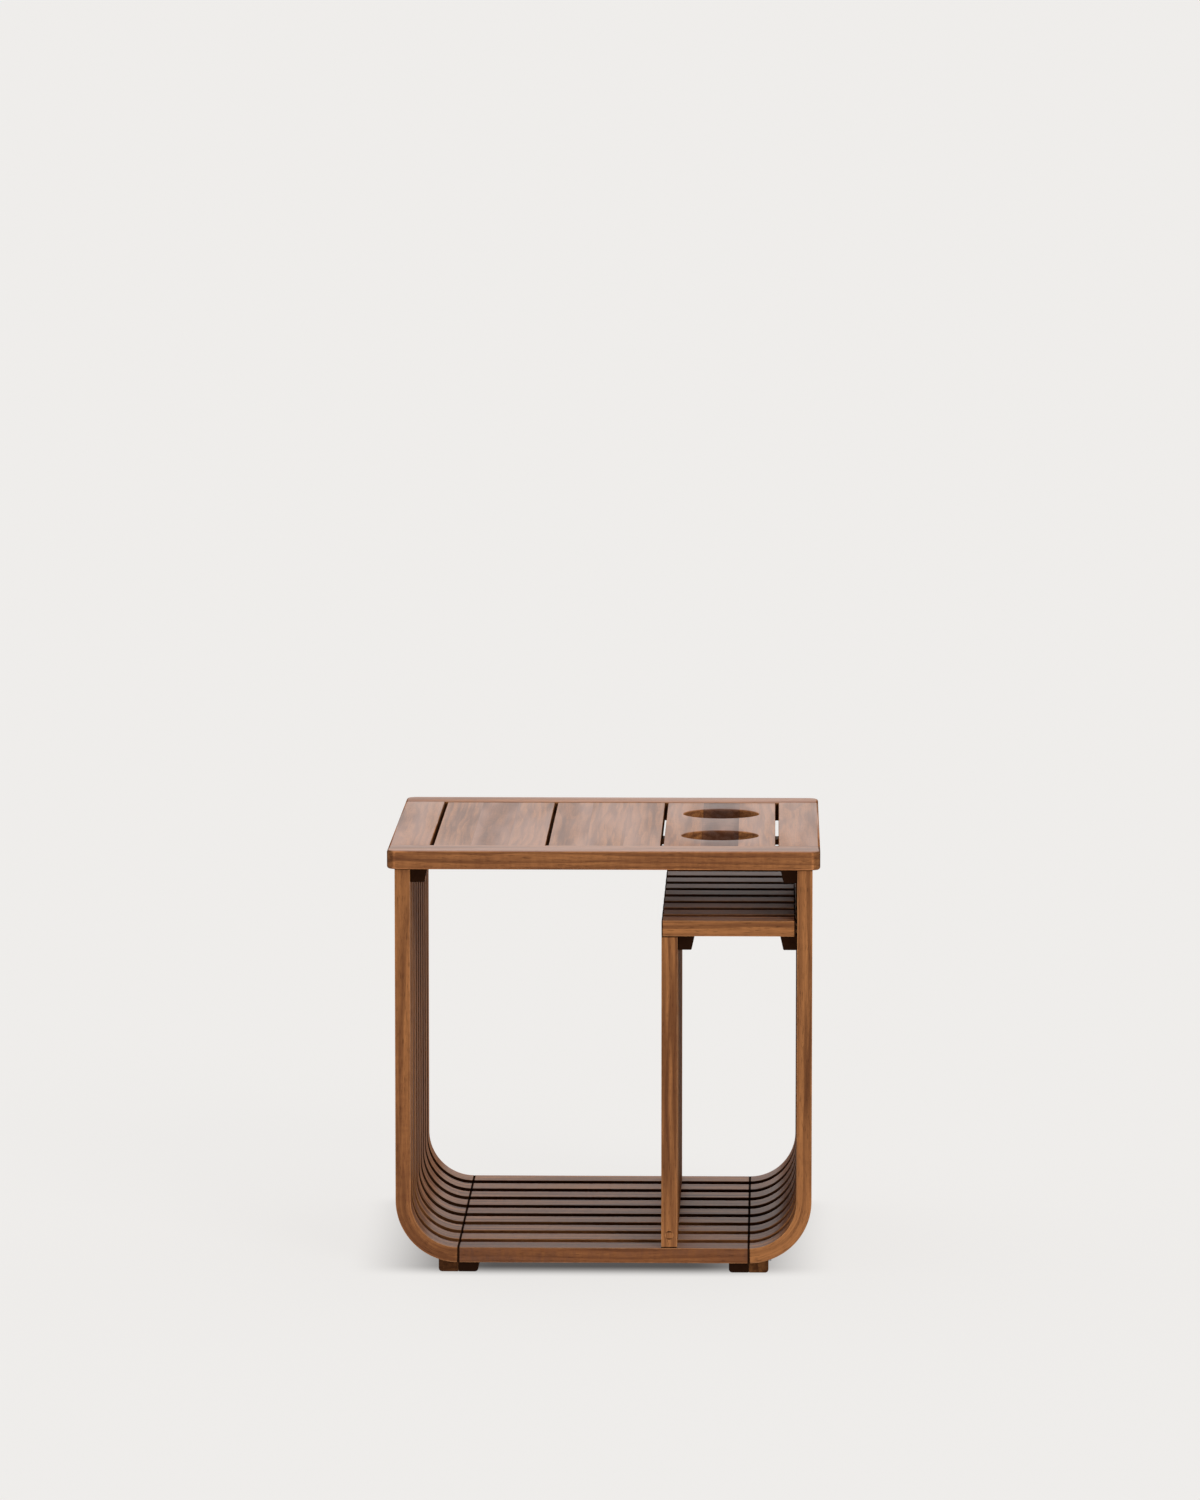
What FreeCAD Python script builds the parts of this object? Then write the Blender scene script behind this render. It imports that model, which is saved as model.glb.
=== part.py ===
import FreeCAD, Part
import math
import os

# Driving dimensions, in millimetres.
# The table stands on z = 0, the origin is under the middle of the top, and the front faces -Y.

# Top: a frame of two rails and two end boards round three infill panels
TOP_WIDTH = 500.0
TOP_DEPTH = 500.0
TABLE_HEIGHT = 495.0
TOP_THICKNESS = 22.0
TOP_CORNER_RADIUS = 12.0
TOP_UPPER_BEVEL = 3.0
TOP_LOWER_BEVEL = 2.5
FRAME_MEMBER_WIDTH = 48.0
SLOT_WIDTH = 4.0
PANEL_COUNT = 3
PANEL_EASE = 1.0
TENON_LENGTH = 16.0
TENON_THICKNESS = 8.0
TENON_SHOULDER = 8.0
GLUE_GAP = 0.1
MORTISE_END_GAP = 1.0
CUP_HOLE_RADIUS = 45.0
CUP_HOLE_SPACING = 200.0
CUP_RIM_EASE = 1.5

# Slats: the same spacing front to back for legs, base, partition and shelf
SLAT_COUNT = 9
SLAT_PITCH = 55.8
SLAT_WIDTH = 36.0
SLAT_THICKNESS = 17.5
SLAT_EASE = 2.0
LEG_OUTER_X = 241.2
BEND_OUTER_RADIUS = 72.7

# Partition and shelf on the right-hand side
UPRIGHT_LEFT_X = 67.0
UPRIGHT_THICKNESS = 18.5
UPRIGHT_WIDTH = 34.0
SHELF_TOP_Z = 413.0
SHELF_THICKNESS = 18.0
SHELF_END_GAP = 2.2
PLUG_RADIUS = 5.0
PLUG_DEPTH = 8.0
PLUG_ABOVE_BASE = 15.0

# Battens that hold the slats and boards together
BATTEN_WIDTH = 20.0
BATTEN_HEIGHT = 18.0
BATTEN_BEVEL = 4.0
BATTEN_EASE = 1.0
BATTEN_SETBACK = 15.0
CROSS_BATTEN_WIDTH = 28.0
CROSS_BATTEN_HEIGHT = 7.0
CROSS_BATTEN_OFFSET = 44.0
CROSS_BATTEN_END_GAP = 0.7
FOOT_HEIGHT = 12.0
FOOT_WIDTH = 23.0
FOOT_SETBACK = 6.0
FOOT_CORNER_RADIUS = 4.0

# Connector bolts and the long sleeve nuts, sunk in the wood, that take them
BOLT_RADIUS = 2.5
BOLT_LENGTH = 30.0
HEXAGON_RADIUS = 4.6
BOLT_HEAD_HEIGHT = 3.5
BOLT_CLEARANCE = 0.25
SLEEVE_LENGTH = 14.0
SLEEVE_FIT = 0.1
BOLTED_SLATS = (1, 7)

# Sizes that follow from those above
TOP_UNDERSIDE_Z = TABLE_HEIGHT - TOP_THICKNESS
RAIL_INNER_Y = TOP_DEPTH / 2 - FRAME_MEMBER_WIDTH
END_BOARD_INNER_X = TOP_WIDTH / 2 - FRAME_MEMBER_WIDTH
PANEL_PITCH = (2 * END_BOARD_INNER_X - SLOT_WIDTH) / PANEL_COUNT
PANEL_WIDTH = PANEL_PITCH - SLOT_WIDTH
LEG_INNER_X = LEG_OUTER_X - SLAT_THICKNESS
JOINT_X = LEG_OUTER_X - BEND_OUTER_RADIUS
BEND_CENTRE_Z = FOOT_HEIGHT + BEND_OUTER_RADIUS
BASE_TOP_Z = FOOT_HEIGHT + SLAT_THICKNESS
SHELF_UNDERSIDE_Z = SHELF_TOP_Z - SHELF_THICKNESS
UPRIGHT_RIGHT_X = UPRIGHT_LEFT_X + UPRIGHT_THICKNESS
SLAT_CENTRES = [(i - (SLAT_COUNT - 1) / 2) * SLAT_PITCH for i in range(SLAT_COUNT)]
SLATS_HALF_DEPTH = SLAT_CENTRES[-1] + SLAT_WIDTH / 2
BATTEN_HALF_LENGTH = SLATS_HALF_DEPTH - BATTEN_SETBACK
FOOT_HALF_LENGTH = SLATS_HALF_DEPTH - FOOT_SETBACK
BOLT_ROWS = [SLAT_CENTRES[i] for i in BOLTED_SLATS]

LEFT = -1
RIGHT = 1
TOUCH = 1e-4


def vec(x, y, z):
    return FreeCAD.Vector(x, y, z)


def box(low, high):
    """Axis-aligned block between two corners."""
    size = vec(*high) - vec(*low)
    return Part.makeBox(size.x, size.y, size.z, vec(*low))


def rod(radius, length, start, direction):
    return Part.makeCylinder(radius, length, start, direction)


def section(corners):
    """Closed flat face in the XZ plane; a corner given as a pair is (middle of an arc, its end)."""
    edges = []
    start = corners[-1][1] if isinstance(corners[-1][0], tuple) else corners[-1]
    for corner in corners:
        if isinstance(corner[0], tuple):
            middle, end = corner
            edges.append(Part.Arc(vec(start[0], 0, start[1]), vec(middle[0], 0, middle[1]),
                                  vec(end[0], 0, end[1])).toShape())
        else:
            end = corner
            edges.append(Part.LineSegment(vec(start[0], 0, start[1]), vec(end[0], 0, end[1])).toShape())
        start = end
    return Part.Face(Part.Wire(edges))


def extrude_depth(face, middle_y, half_length):
    """Stretch a section front to back, centred on middle_y."""
    moved = face.translated(vec(0, middle_y - half_length, 0))
    return moved.extrude(vec(0, 2 * half_length, 0))


def edges_along_y(solid, x, z):
    """Edges that run front to back through one point of the section."""
    return [e for e in solid.Edges
            if all(abs(v.X - x) < TOUCH and abs(v.Z - z) < TOUCH for v in e.Vertexes)]


def edges_in_plane(solid, z):
    """Every edge that lies in one horizontal plane."""
    return [e for e in solid.Edges if all(abs(v.Z - z) < TOUCH for v in e.Vertexes)]


def edges_off_plane(solid, z):
    """Every edge apart from those that lie in one horizontal plane."""
    return [e for e in solid.Edges if any(abs(v.Z - z) > TOUCH for v in e.Vertexes)]


def eased_bar(low, high, ease):
    """Straight stick with all its arrises taken off."""
    stick = box(low, high)
    return stick.makeChamfer(ease, stick.Edges)


def top_blank():
    """The whole top in one piece: round corners in plan, and a bevelled rim above and below."""
    slab = box((-TOP_WIDTH / 2, -TOP_DEPTH / 2, TOP_UNDERSIDE_Z),
               (TOP_WIDTH / 2, TOP_DEPTH / 2, TABLE_HEIGHT))
    uprights = [e for e in slab.Edges if abs(e.Vertexes[0].Z - e.Vertexes[1].Z) > TOUCH]
    slab = slab.makeFillet(TOP_CORNER_RADIUS, uprights)
    slab = slab.makeChamfer(TOP_LOWER_BEVEL, edges_in_plane(slab, TOP_UNDERSIDE_Z))
    return slab.makeChamfer(TOP_UPPER_BEVEL, edges_in_plane(slab, TABLE_HEIGHT))


def tenon(x_low, x_high, end, grow, extra_length):
    """Stub at the front (-1) or back (+1) end of a board; grow makes it the mortise for that stub."""
    middle_z = TABLE_HEIGHT - TOP_THICKNESS / 2
    near = end * RAIL_INNER_Y
    far = end * (RAIL_INNER_Y + TENON_LENGTH + extra_length)
    return box((x_low + TENON_SHOULDER - grow, min(near, far), middle_z - TENON_THICKNESS / 2 - grow),
               (x_high - TENON_SHOULDER + grow, max(near, far), middle_z + TENON_THICKNESS / 2 + grow))


def with_tenons(board, x_low, x_high):
    stubs = [tenon(x_low, x_high, end, 0, 0) for end in (-1, 1)]
    return board.fuse(stubs).removeSplitter()


def panel_spans():
    """Left and right edge of each infill panel."""
    first = -END_BOARD_INNER_X + SLOT_WIDTH
    return [(first + i * PANEL_PITCH, first + i * PANEL_PITCH + PANEL_WIDTH) for i in range(PANEL_COUNT)]


def end_board_span(side):
    inner, outer = side * END_BOARD_INNER_X, side * TOP_WIDTH / 2
    return min(inner, outer), max(inner, outer)


def rail(blank, end):
    """Full-width rail at the front (-1) or back (+1), mortised for the ends of the five boards."""
    near, far = end * RAIL_INNER_Y, end * TOP_DEPTH / 2
    strip = box((-TOP_WIDTH / 2, min(near, far), TOP_UNDERSIDE_Z),
                (TOP_WIDTH / 2, max(near, far), TABLE_HEIGHT))
    spans = panel_spans() + [end_board_span(LEFT), end_board_span(RIGHT)]
    mortises = [tenon(low, high, end, GLUE_GAP, MORTISE_END_GAP) for low, high in spans]
    return blank.common(strip).cut(mortises)


def end_board(blank, side):
    low, high = end_board_span(side)
    strip = box((low, -RAIL_INNER_Y, TOP_UNDERSIDE_Z), (high, RAIL_INNER_Y, TABLE_HEIGHT))
    board = with_tenons(blank.common(strip), low, high)
    return board.cut([sleeve_hole(place) for place in top_bolt_places(side)])


def infill_panel(low, high):
    board = eased_bar((low, -RAIL_INNER_Y, TOP_UNDERSIDE_Z), (high, RAIL_INNER_Y, TABLE_HEIGHT), PANEL_EASE)
    return with_tenons(board, low, high)


def cup_panel(low, high):
    """Right-hand panel, with two through holes for cups and a small bevel round each rim."""
    panel = infill_panel(low, high)
    for y in (-CUP_HOLE_SPACING / 2, CUP_HOLE_SPACING / 2):
        bottom = vec((low + high) / 2, y, TOP_UNDERSIDE_Z)
        panel = panel.cut(rod(CUP_HOLE_RADIUS, TOP_THICKNESS, bottom, vec(0, 0, 1)))
    rims = [e for e in edges_in_plane(panel, TABLE_HEIGHT) if isinstance(e.Curve, Part.Circle)]
    return panel.makeChamfer(CUP_RIM_EASE, rims)


def leg_slat(side, middle_y):
    """L-shaped slat: a straight leg that turns through a quarter circle into the foot."""
    inner_radius = BEND_OUTER_RADIUS - SLAT_THICKNESS
    diagonal = math.sqrt(0.5)
    outer, inner, joint = side * LEG_OUTER_X, side * LEG_INNER_X, side * JOINT_X

    def on_bend(radius):
        return (side * (JOINT_X + radius * diagonal), BEND_CENTRE_Z - radius * diagonal)

    def is_outer(edge):
        """True for the edges of the straight leg's outer face and of the outside of the bend."""
        middle = edge.valueAt((edge.FirstParameter + edge.LastParameter) / 2)
        from_centre = math.hypot(abs(middle.x) - JOINT_X, middle.z - BEND_CENTRE_Z)
        if middle.z > BEND_CENTRE_Z:
            return abs(middle.x - outer) < TOUCH
        return abs(from_centre - BEND_OUTER_RADIUS) < TOUCH

    face = section([
        (outer, BEND_CENTRE_Z),
        (on_bend(BEND_OUTER_RADIUS), (joint, FOOT_HEIGHT)),
        (joint, BASE_TOP_Z),
        (on_bend(inner_radius), (inner, BEND_CENTRE_Z)),
        (inner, TOP_UNDERSIDE_Z),
        (outer, TOP_UNDERSIDE_Z),
    ])
    slat = extrude_depth(face, middle_y, SLAT_WIDTH / 2)
    flat_sides = [f for f in slat.Faces if abs(abs(f.normalAt(0, 0).y) - 1) < TOUCH]
    arrises = [e for f in flat_sides for e in f.Edges if is_outer(e)]
    return slat.makeChamfer(SLAT_EASE, arrises + edges_along_y(slat, joint, FOOT_HEIGHT))


def base_slat(middle_y):
    return eased_bar((-JOINT_X, middle_y - SLAT_WIDTH / 2, FOOT_HEIGHT),
                     (JOINT_X, middle_y + SLAT_WIDTH / 2, BASE_TOP_Z), SLAT_EASE)


def shelf_slat(middle_y):
    return eased_bar((UPRIGHT_LEFT_X, middle_y - SLAT_WIDTH / 2, SHELF_UNDERSIDE_Z),
                     (LEG_INNER_X - SHELF_END_GAP, middle_y + SLAT_WIDTH / 2, SHELF_TOP_Z), SLAT_EASE)


def plug(end):
    """Round plug over the slanted screw at the foot of the front (-1) or back (+1) upright."""
    face_y = end * (SLAT_CENTRES[-1] + UPRIGHT_WIDTH / 2)
    middle = vec((UPRIGHT_LEFT_X + UPRIGHT_RIGHT_X) / 2, face_y, BASE_TOP_Z + PLUG_ABOVE_BASE)
    return rod(PLUG_RADIUS, PLUG_DEPTH, middle, vec(0, -end, 0))


def upright(middle_y, plugs):
    """Partition post between a base slat and a shelf slat, eased down its long arrises."""
    stick = box((UPRIGHT_LEFT_X, middle_y - UPRIGHT_WIDTH / 2, BASE_TOP_Z),
                (UPRIGHT_RIGHT_X, middle_y + UPRIGHT_WIDTH / 2, SHELF_UNDERSIDE_Z))
    long_edges = [e for e in stick.Edges if e.Length > SHELF_UNDERSIDE_Z - BASE_TOP_Z - TOUCH]
    return stick.makeChamfer(SLAT_EASE, long_edges).cut(plugs)


def side_batten(outer_x, top_z, inward):
    """Front-to-back batten whose free side slopes in towards its underside."""
    free_x = outer_x + inward * BATTEN_WIDTH
    face = section([
        (outer_x, top_z - BATTEN_HEIGHT),
        (free_x - inward * BATTEN_BEVEL, top_z - BATTEN_HEIGHT),
        (free_x, top_z),
        (outer_x, top_z),
    ])
    batten = extrude_depth(face, 0, BATTEN_HALF_LENGTH)
    lower = edges_along_y(batten, free_x - inward * BATTEN_BEVEL, top_z - BATTEN_HEIGHT)
    return batten.makeChamfer(BATTEN_EASE, lower)


def cross_batten(middle_y):
    """Thin left-to-right batten that keeps the panels of the top level with each other."""
    half = LEG_INNER_X - BATTEN_WIDTH - CROSS_BATTEN_END_GAP
    stick = box((-half, middle_y - CROSS_BATTEN_WIDTH / 2, TOP_UNDERSIDE_Z - CROSS_BATTEN_HEIGHT),
                (half, middle_y + CROSS_BATTEN_WIDTH / 2, TOP_UNDERSIDE_Z))
    return stick.makeChamfer(BATTEN_EASE, edges_off_plane(stick, TOP_UNDERSIDE_Z))


def leg_foot_batten(side):
    """Foot under the bent ends of the leg slats, hollowed to lie against their curve."""
    far = JOINT_X + FOOT_WIDTH

    def under_bend(x):
        return (side * x, BEND_CENTRE_Z - math.sqrt(BEND_OUTER_RADIUS ** 2 - (x - JOINT_X) ** 2))

    face = section([
        (side * far, 0),
        under_bend(far),
        (under_bend(JOINT_X + FOOT_WIDTH / 2), under_bend(JOINT_X)),
        (side * JOINT_X, 0),
    ])
    foot = extrude_depth(face, 0, FOOT_HALF_LENGTH)
    foot = foot.makeFillet(FOOT_CORNER_RADIUS, edges_along_y(foot, side * far, 0))
    return foot.cut([bolt_hole(place) for place in foot_bolt_places(side)])


def base_foot_batten(side):
    """Foot under the ends of the base slats, side by side with the leg's own foot."""
    near, far = side * JOINT_X, side * (JOINT_X - FOOT_WIDTH)
    foot = box((min(near, far), -FOOT_HALF_LENGTH, 0), (max(near, far), FOOT_HALF_LENGTH, FOOT_HEIGHT))
    foot = foot.makeFillet(FOOT_CORNER_RADIUS, edges_along_y(foot, far, 0))
    return foot.cut([sleeve_hole(place) for place in foot_bolt_places(side)])


# A bolt's place is the point under its head, the way it runs and how much wood it passes before its nut.

def foot_bolt_places(side):
    head_x, middle_z = side * (JOINT_X + FOOT_WIDTH), FOOT_HEIGHT / 2
    return [(vec(head_x, y, middle_z), vec(-side, 0, 0), FOOT_WIDTH) for y in BOLT_ROWS]


def top_bolt_places(side):
    middle_x, head_z = side * (LEG_INNER_X - BATTEN_WIDTH / 2), TOP_UNDERSIDE_Z - BATTEN_HEIGHT
    return [(vec(middle_x, y, head_z), vec(0, 0, 1), BATTEN_HEIGHT) for y in BOLT_ROWS]


def all_bolt_places():
    return [place for side in (LEFT, RIGHT) for place in foot_bolt_places(side) + top_bolt_places(side)]


def bolt_hole(place):
    """Clearance hole right through the first piece of wood."""
    start, way, passed = place
    return rod(BOLT_RADIUS + BOLT_CLEARANCE, passed, start, way)


def sleeve_hole(place):
    """Blind hole in the second piece of wood, for the sleeve nut."""
    start, way, passed = place
    return rod(HEXAGON_RADIUS + SLEEVE_FIT, SLEEVE_LENGTH + SLEEVE_FIT, start + way * passed, way)


def hexagon(length, start, way):
    """Six-sided bar that starts at a point and runs one way."""
    turns = [math.radians(60 * i) for i in range(7)]
    outline = Part.makePolygon([vec(math.cos(a), math.sin(a), 0) * HEXAGON_RADIUS for a in turns])
    bar = Part.Face(outline).extrude(vec(0, 0, length))
    bar.Placement = FreeCAD.Placement(start, FreeCAD.Rotation(vec(0, 0, 1), way))
    return bar


def bolt(place):
    """Hexagon head and a plain shank."""
    start, way, _ = place
    head = hexagon(BOLT_HEAD_HEIGHT, start - way * BOLT_HEAD_HEIGHT, way)
    return head.fuse(rod(BOLT_RADIUS, BOLT_LENGTH, start, way)).removeSplitter()


def sleeve_nut(place):
    start, way, passed = place
    mouth = start + way * passed
    sleeve = hexagon(SLEEVE_LENGTH, mouth, way)
    return sleeve.cut(rod(BOLT_RADIUS + SLEEVE_FIT, SLEEVE_LENGTH, mouth, way))


def build():
    """Every node of the table by name."""
    blank = top_blank()
    spans = panel_spans()
    nodes = {
        "top_front_rail": rail(blank, -1),
        "top_back_rail": rail(blank, 1),
        "top_left_end_board": end_board(blank, LEFT),
        "top_right_end_board": end_board(blank, RIGHT),
        "top_left_panel": infill_panel(*spans[0]),
        "top_middle_panel": infill_panel(*spans[1]),
        "top_cup_panel": cup_panel(*spans[2]),
        "top_front_cross_batten": cross_batten(-CROSS_BATTEN_OFFSET),
        "top_back_cross_batten": cross_batten(CROSS_BATTEN_OFFSET),
        "shelf_left_batten": side_batten(UPRIGHT_RIGHT_X, SHELF_UNDERSIDE_Z, 1),
        "shelf_right_batten": side_batten(LEG_INNER_X, SHELF_UNDERSIDE_Z, -1),
    }
    for name, side in (("left", LEFT), ("right", RIGHT)):
        top_batten = side_batten(side * LEG_INNER_X, TOP_UNDERSIDE_Z, -side)
        nodes[f"{name}_leg_top_batten"] = top_batten.cut([bolt_hole(p) for p in top_bolt_places(side)])
        nodes[f"{name}_leg_foot_batten"] = leg_foot_batten(side)
        nodes[f"{name}_base_foot_batten"] = base_foot_batten(side)
        for i, y in enumerate(SLAT_CENTRES):
            nodes[f"{name}_leg_slat_{i + 1}"] = leg_slat(side, y)

    plugs = [plug(-1), plug(1)]
    for i, y in enumerate(SLAT_CENTRES):
        nodes[f"base_slat_{i + 1}"] = base_slat(y)
        nodes[f"partition_upright_{i + 1}"] = upright(y, plugs)

    nodes["shelf_slats"] = Part.makeCompound([shelf_slat(y) for y in SLAT_CENTRES])
    nodes["upright_plugs"] = Part.makeCompound(plugs)
    nodes["connector_bolts"] = Part.makeCompound([bolt(p) for p in all_bolt_places()])
    nodes["sleeve_nuts"] = Part.makeCompound([sleeve_nut(p) for p in all_bolt_places()])
    return nodes


def main():
    os.makedirs("parts", exist_ok=True)
    for name, shape in build().items():
        assert shape.isValid() and shape.Volume > 0, name
        shape.exportStep(f"parts/{name}.step")
        print(f"{name}: {len(shape.Solids)} solid(s), {shape.Volume / 1000:.1f} cm3")


main()
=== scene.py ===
import logging
import math
import zlib
from dataclasses import dataclass, field
from enum import Enum
from typing import Callable, Iterable, Optional, Sequence, Union

import bmesh
import bpy
import numpy as np
from mathutils import Euler, Matrix, Vector


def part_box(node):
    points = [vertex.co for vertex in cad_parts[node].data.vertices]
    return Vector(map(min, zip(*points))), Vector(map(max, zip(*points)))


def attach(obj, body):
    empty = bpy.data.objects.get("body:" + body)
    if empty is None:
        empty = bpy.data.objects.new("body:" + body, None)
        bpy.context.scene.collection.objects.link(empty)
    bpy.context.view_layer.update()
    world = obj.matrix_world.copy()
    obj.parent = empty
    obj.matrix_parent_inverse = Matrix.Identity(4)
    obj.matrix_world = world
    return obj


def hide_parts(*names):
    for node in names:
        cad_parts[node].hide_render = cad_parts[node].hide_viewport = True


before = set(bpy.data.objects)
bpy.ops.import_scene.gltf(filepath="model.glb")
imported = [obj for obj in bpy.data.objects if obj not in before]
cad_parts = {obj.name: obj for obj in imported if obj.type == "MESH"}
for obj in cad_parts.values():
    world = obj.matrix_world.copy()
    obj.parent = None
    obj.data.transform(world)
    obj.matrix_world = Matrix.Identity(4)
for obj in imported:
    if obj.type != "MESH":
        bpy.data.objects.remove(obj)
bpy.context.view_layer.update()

LOG = logging.getLogger("side_table")
BODY = "root"
MM = 0.001
TOUCH = 1e-6
QUARTER = math.pi / 2
SHARP = math.radians(35)
SLATS = range(1, 10)
BACK = Vector((0, 1, 0))
DOWN = Vector((0, 0, -1))

Mesh = bpy.types.Mesh
Node = bpy.types.Node
Piece = bpy.types.Object
Socket = bpy.types.NodeSocket
Tree = bpy.types.NodeTree
Numbers = Union[float, Sequence[float]]
Value = Union[Numbers, Socket]
Inputs = dict[Union[str, int], Value]
Weight = Callable[[Vector, Vector], float]
Span = tuple[float, float]
Triple = tuple[float, float, float]
Ramp = tuple[float, float, float, float]
Colour = Ramp
Tones = Triple


class Axis(Enum):
    """A direction of the table's frame."""

    X = 0
    Y = 1
    Z = 2


class Side(Enum):
    """Left or right half of the table, seen from the front."""

    LEFT = -1
    RIGHT = 1

    @property
    def word(self) -> str:
        """The word that node names begin with."""
        return self.name.lower()

    def inner_outer(self, low: float, high: float) -> Span:
        """Two places on this side, the one nearer the table's middle first."""
        return (low, high) if self is Side.RIGHT else (high, low)


class Bench:
    """Sets out and wires the nodes of one tree."""

    def __init__(self, tree: Tree) -> None:
        """Take the tree to work on."""
        self.tree = tree

    def wire(self, node: Node, inputs: Inputs) -> None:
        """Feed some of a node's inputs.

        Args:
            node: the node to feed.
            inputs: a constant or a socket for each input, by name or number.
        """
        for key, value in inputs.items():
            if isinstance(value, Socket):
                self.tree.links.new(value, node.inputs[key])
            else:
                node.inputs[key].default_value = value

    def add(self, kind: str, inputs: Optional[Inputs] = None, **settings: object) -> Node:
        """Place a node.

        Args:
            kind: the node's type name.
            inputs: a constant or a socket for each input, by name or number.
            settings: the node's own properties.

        Returns:
            The new node.
        """
        node = self.tree.nodes.new(kind)
        for name, setting in settings.items():
            setattr(node, name, setting)
        self.wire(node, inputs or {})
        return node

    def get(self, kind: str, inputs: Optional[Inputs] = None, **settings: object) -> Socket:
        """Place a node for its first output."""
        return self.add(kind, inputs, **settings).outputs[0]

    def math(self, operation: str, *values: Value) -> Socket:
        """Work out one number from others."""
        return self.get("ShaderNodeMath", dict(enumerate(values)), operation=operation)

    def plus(self, first: Value, second: Value) -> Socket:
        """Add two numbers."""
        return self.math("ADD", first, second)

    def minus(self, first: Value, second: Value) -> Socket:
        """Take the second number from the first."""
        return self.math("SUBTRACT", first, second)

    def times(self, first: Value, second: Value) -> Socket:
        """Multiply two numbers."""
        return self.math("MULTIPLY", first, second)

    def plus_shares(self, start: Value, *shares: tuple[Value, Value]) -> Value:
        """Add to a number a share of each of some others.

        Args:
            start: the number to add to.
            shares: the other numbers, each with its share.

        Returns:
            The sum.
        """
        for value, share in shares:
            start = self.plus(start, self.times(value, share))
        return start

    def vector(self, operation: str, *values: Value) -> Socket:
        """Work out one vector from others."""
        return self.get("ShaderNodeVectorMath", dict(enumerate(values)), operation=operation)

    def stretch(self, vector: Value, factor: Value) -> Socket:
        """Scale a vector by one number."""
        return self.get("ShaderNodeVectorMath", {0: vector, "Scale": factor}, operation="SCALE")

    def join(self, *parts: Value) -> Socket:
        """Make a vector from three numbers."""
        return self.get("ShaderNodeCombineXYZ", dict(enumerate(parts)))

    def split(self, vector: Value) -> Sequence[Socket]:
        """Take a vector apart into three numbers."""
        return list(self.add("ShaderNodeSeparateXYZ", {0: vector}).outputs)

    def object_place(self) -> Socket:
        """Where a point of the surface lies in the table's frame."""
        return self.add("ShaderNodeTexCoord").outputs["Object"]

    def noise(self, place: Value, detail: float, roughness: float = 0.5,
              output: Union[int, str] = 0) -> Socket:
        """Read a noise at an already scaled place."""
        inputs = {"Vector": place, "Scale": 1.0, "Detail": detail, "Roughness": roughness}
        return self.add("ShaderNodeTexNoise", inputs).outputs[output]

    def ramp(self, value: Value, low: float, high: float, start: float = 0.0, end: float = 1.0) -> Socket:
        """Spread a value smoothly from one range to another.

        Args:
            value: the number to spread.
            low: where the result is start.
            high: where the result is end.
            start: the result at low.
            end: the result at high.

        Returns:
            The spread value's socket.
        """
        inputs = {"Value": value, "From Min": low, "From Max": high, "To Min": start, "To Max": end}
        return self.get("ShaderNodeMapRange", inputs, interpolation_type="SMOOTHSTEP")

    def fade(self, value: Value, low: float, high: float) -> Socket:
        """Fall smoothly from one at low to nought at high."""
        return self.ramp(value, low, high, 1.0, 0.0)

    def mix(self, share: Value, first: Value, second: Value) -> Socket:
        """Lay a share of the second colour over the first."""
        return self.add("ShaderNodeMix", {0: share, 6: first, 7: second}, data_type="RGBA").outputs[2]

    def bump(self, height: Value, strength: float, depth: float) -> Socket:
        """Raise and lower a surface; a height of one means the depth, in metres."""
        return self.get("ShaderNodeBump", {"Height": height, "Strength": strength, "Distance": depth})


@dataclass
class Group:
    """A node group under construction, with its bench and its two ends."""

    tree: Tree
    bench: Bench
    start: Node
    end: Node

    @classmethod
    def new(cls, name: str, kind: str, inputs: dict[str, str], outputs: dict[str, str]) -> "Group":
        """Start a group.

        Args:
            name: the group's name.
            kind: shader or geometry tree type.
            inputs: socket kind of each input, by name.
            outputs: socket kind of each output, by name.

        Returns:
            The empty group.
        """
        tree = bpy.data.node_groups.new(name, kind)
        for side, sockets in (("INPUT", inputs), ("OUTPUT", outputs)):
            for label, socket in sockets.items():
                tree.interface.new_socket(name=label, in_out=side, socket_type=f"NodeSocket{socket}")
        bench = Bench(tree)
        return cls(tree, bench, bench.add("NodeGroupInput"), bench.add("NodeGroupOutput"))

    @classmethod
    def shader(cls, name: str, numbers: Sequence[str], vectors: Sequence[str],
               results: Sequence[str]) -> "Group":
        """Start a shader group from the names of its inputs and of the numbers it puts out."""
        inputs = {**dict.fromkeys(vectors, "Vector"), **dict.fromkeys(numbers, "Float")}
        return cls.new(name, "ShaderNodeTree", inputs, dict.fromkeys(results, "Float"))

    def take(self, *names: str) -> list[Socket]:
        """Some of the group's inputs."""
        return [self.start.outputs[name] for name in names]

    def give(self, **results: Socket) -> Tree:
        """Wire results, such as cut_end for the output Cut End, and hand out the finished tree."""
        self.bench.wire(self.end, {name.replace("_", " ").title(): value for name, value in results.items()})
        return self.tree


@dataclass(frozen=True)
class Band:
    """A noise drawn out along the grain: how fine it is along and across, per metre, and its detail."""

    along: float
    across: float
    detail: float = 2.0
    roughness: float = 0.5

    def read(self, bench: Bench, place: Socket, output: Union[int, str] = 0) -> Socket:
        """Read the noise at a place in the timber."""
        scaled = bench.vector("MULTIPLY", place, (self.along, self.across, self.across))
        return bench.noise(scaled, self.detail, self.roughness, output)


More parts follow.
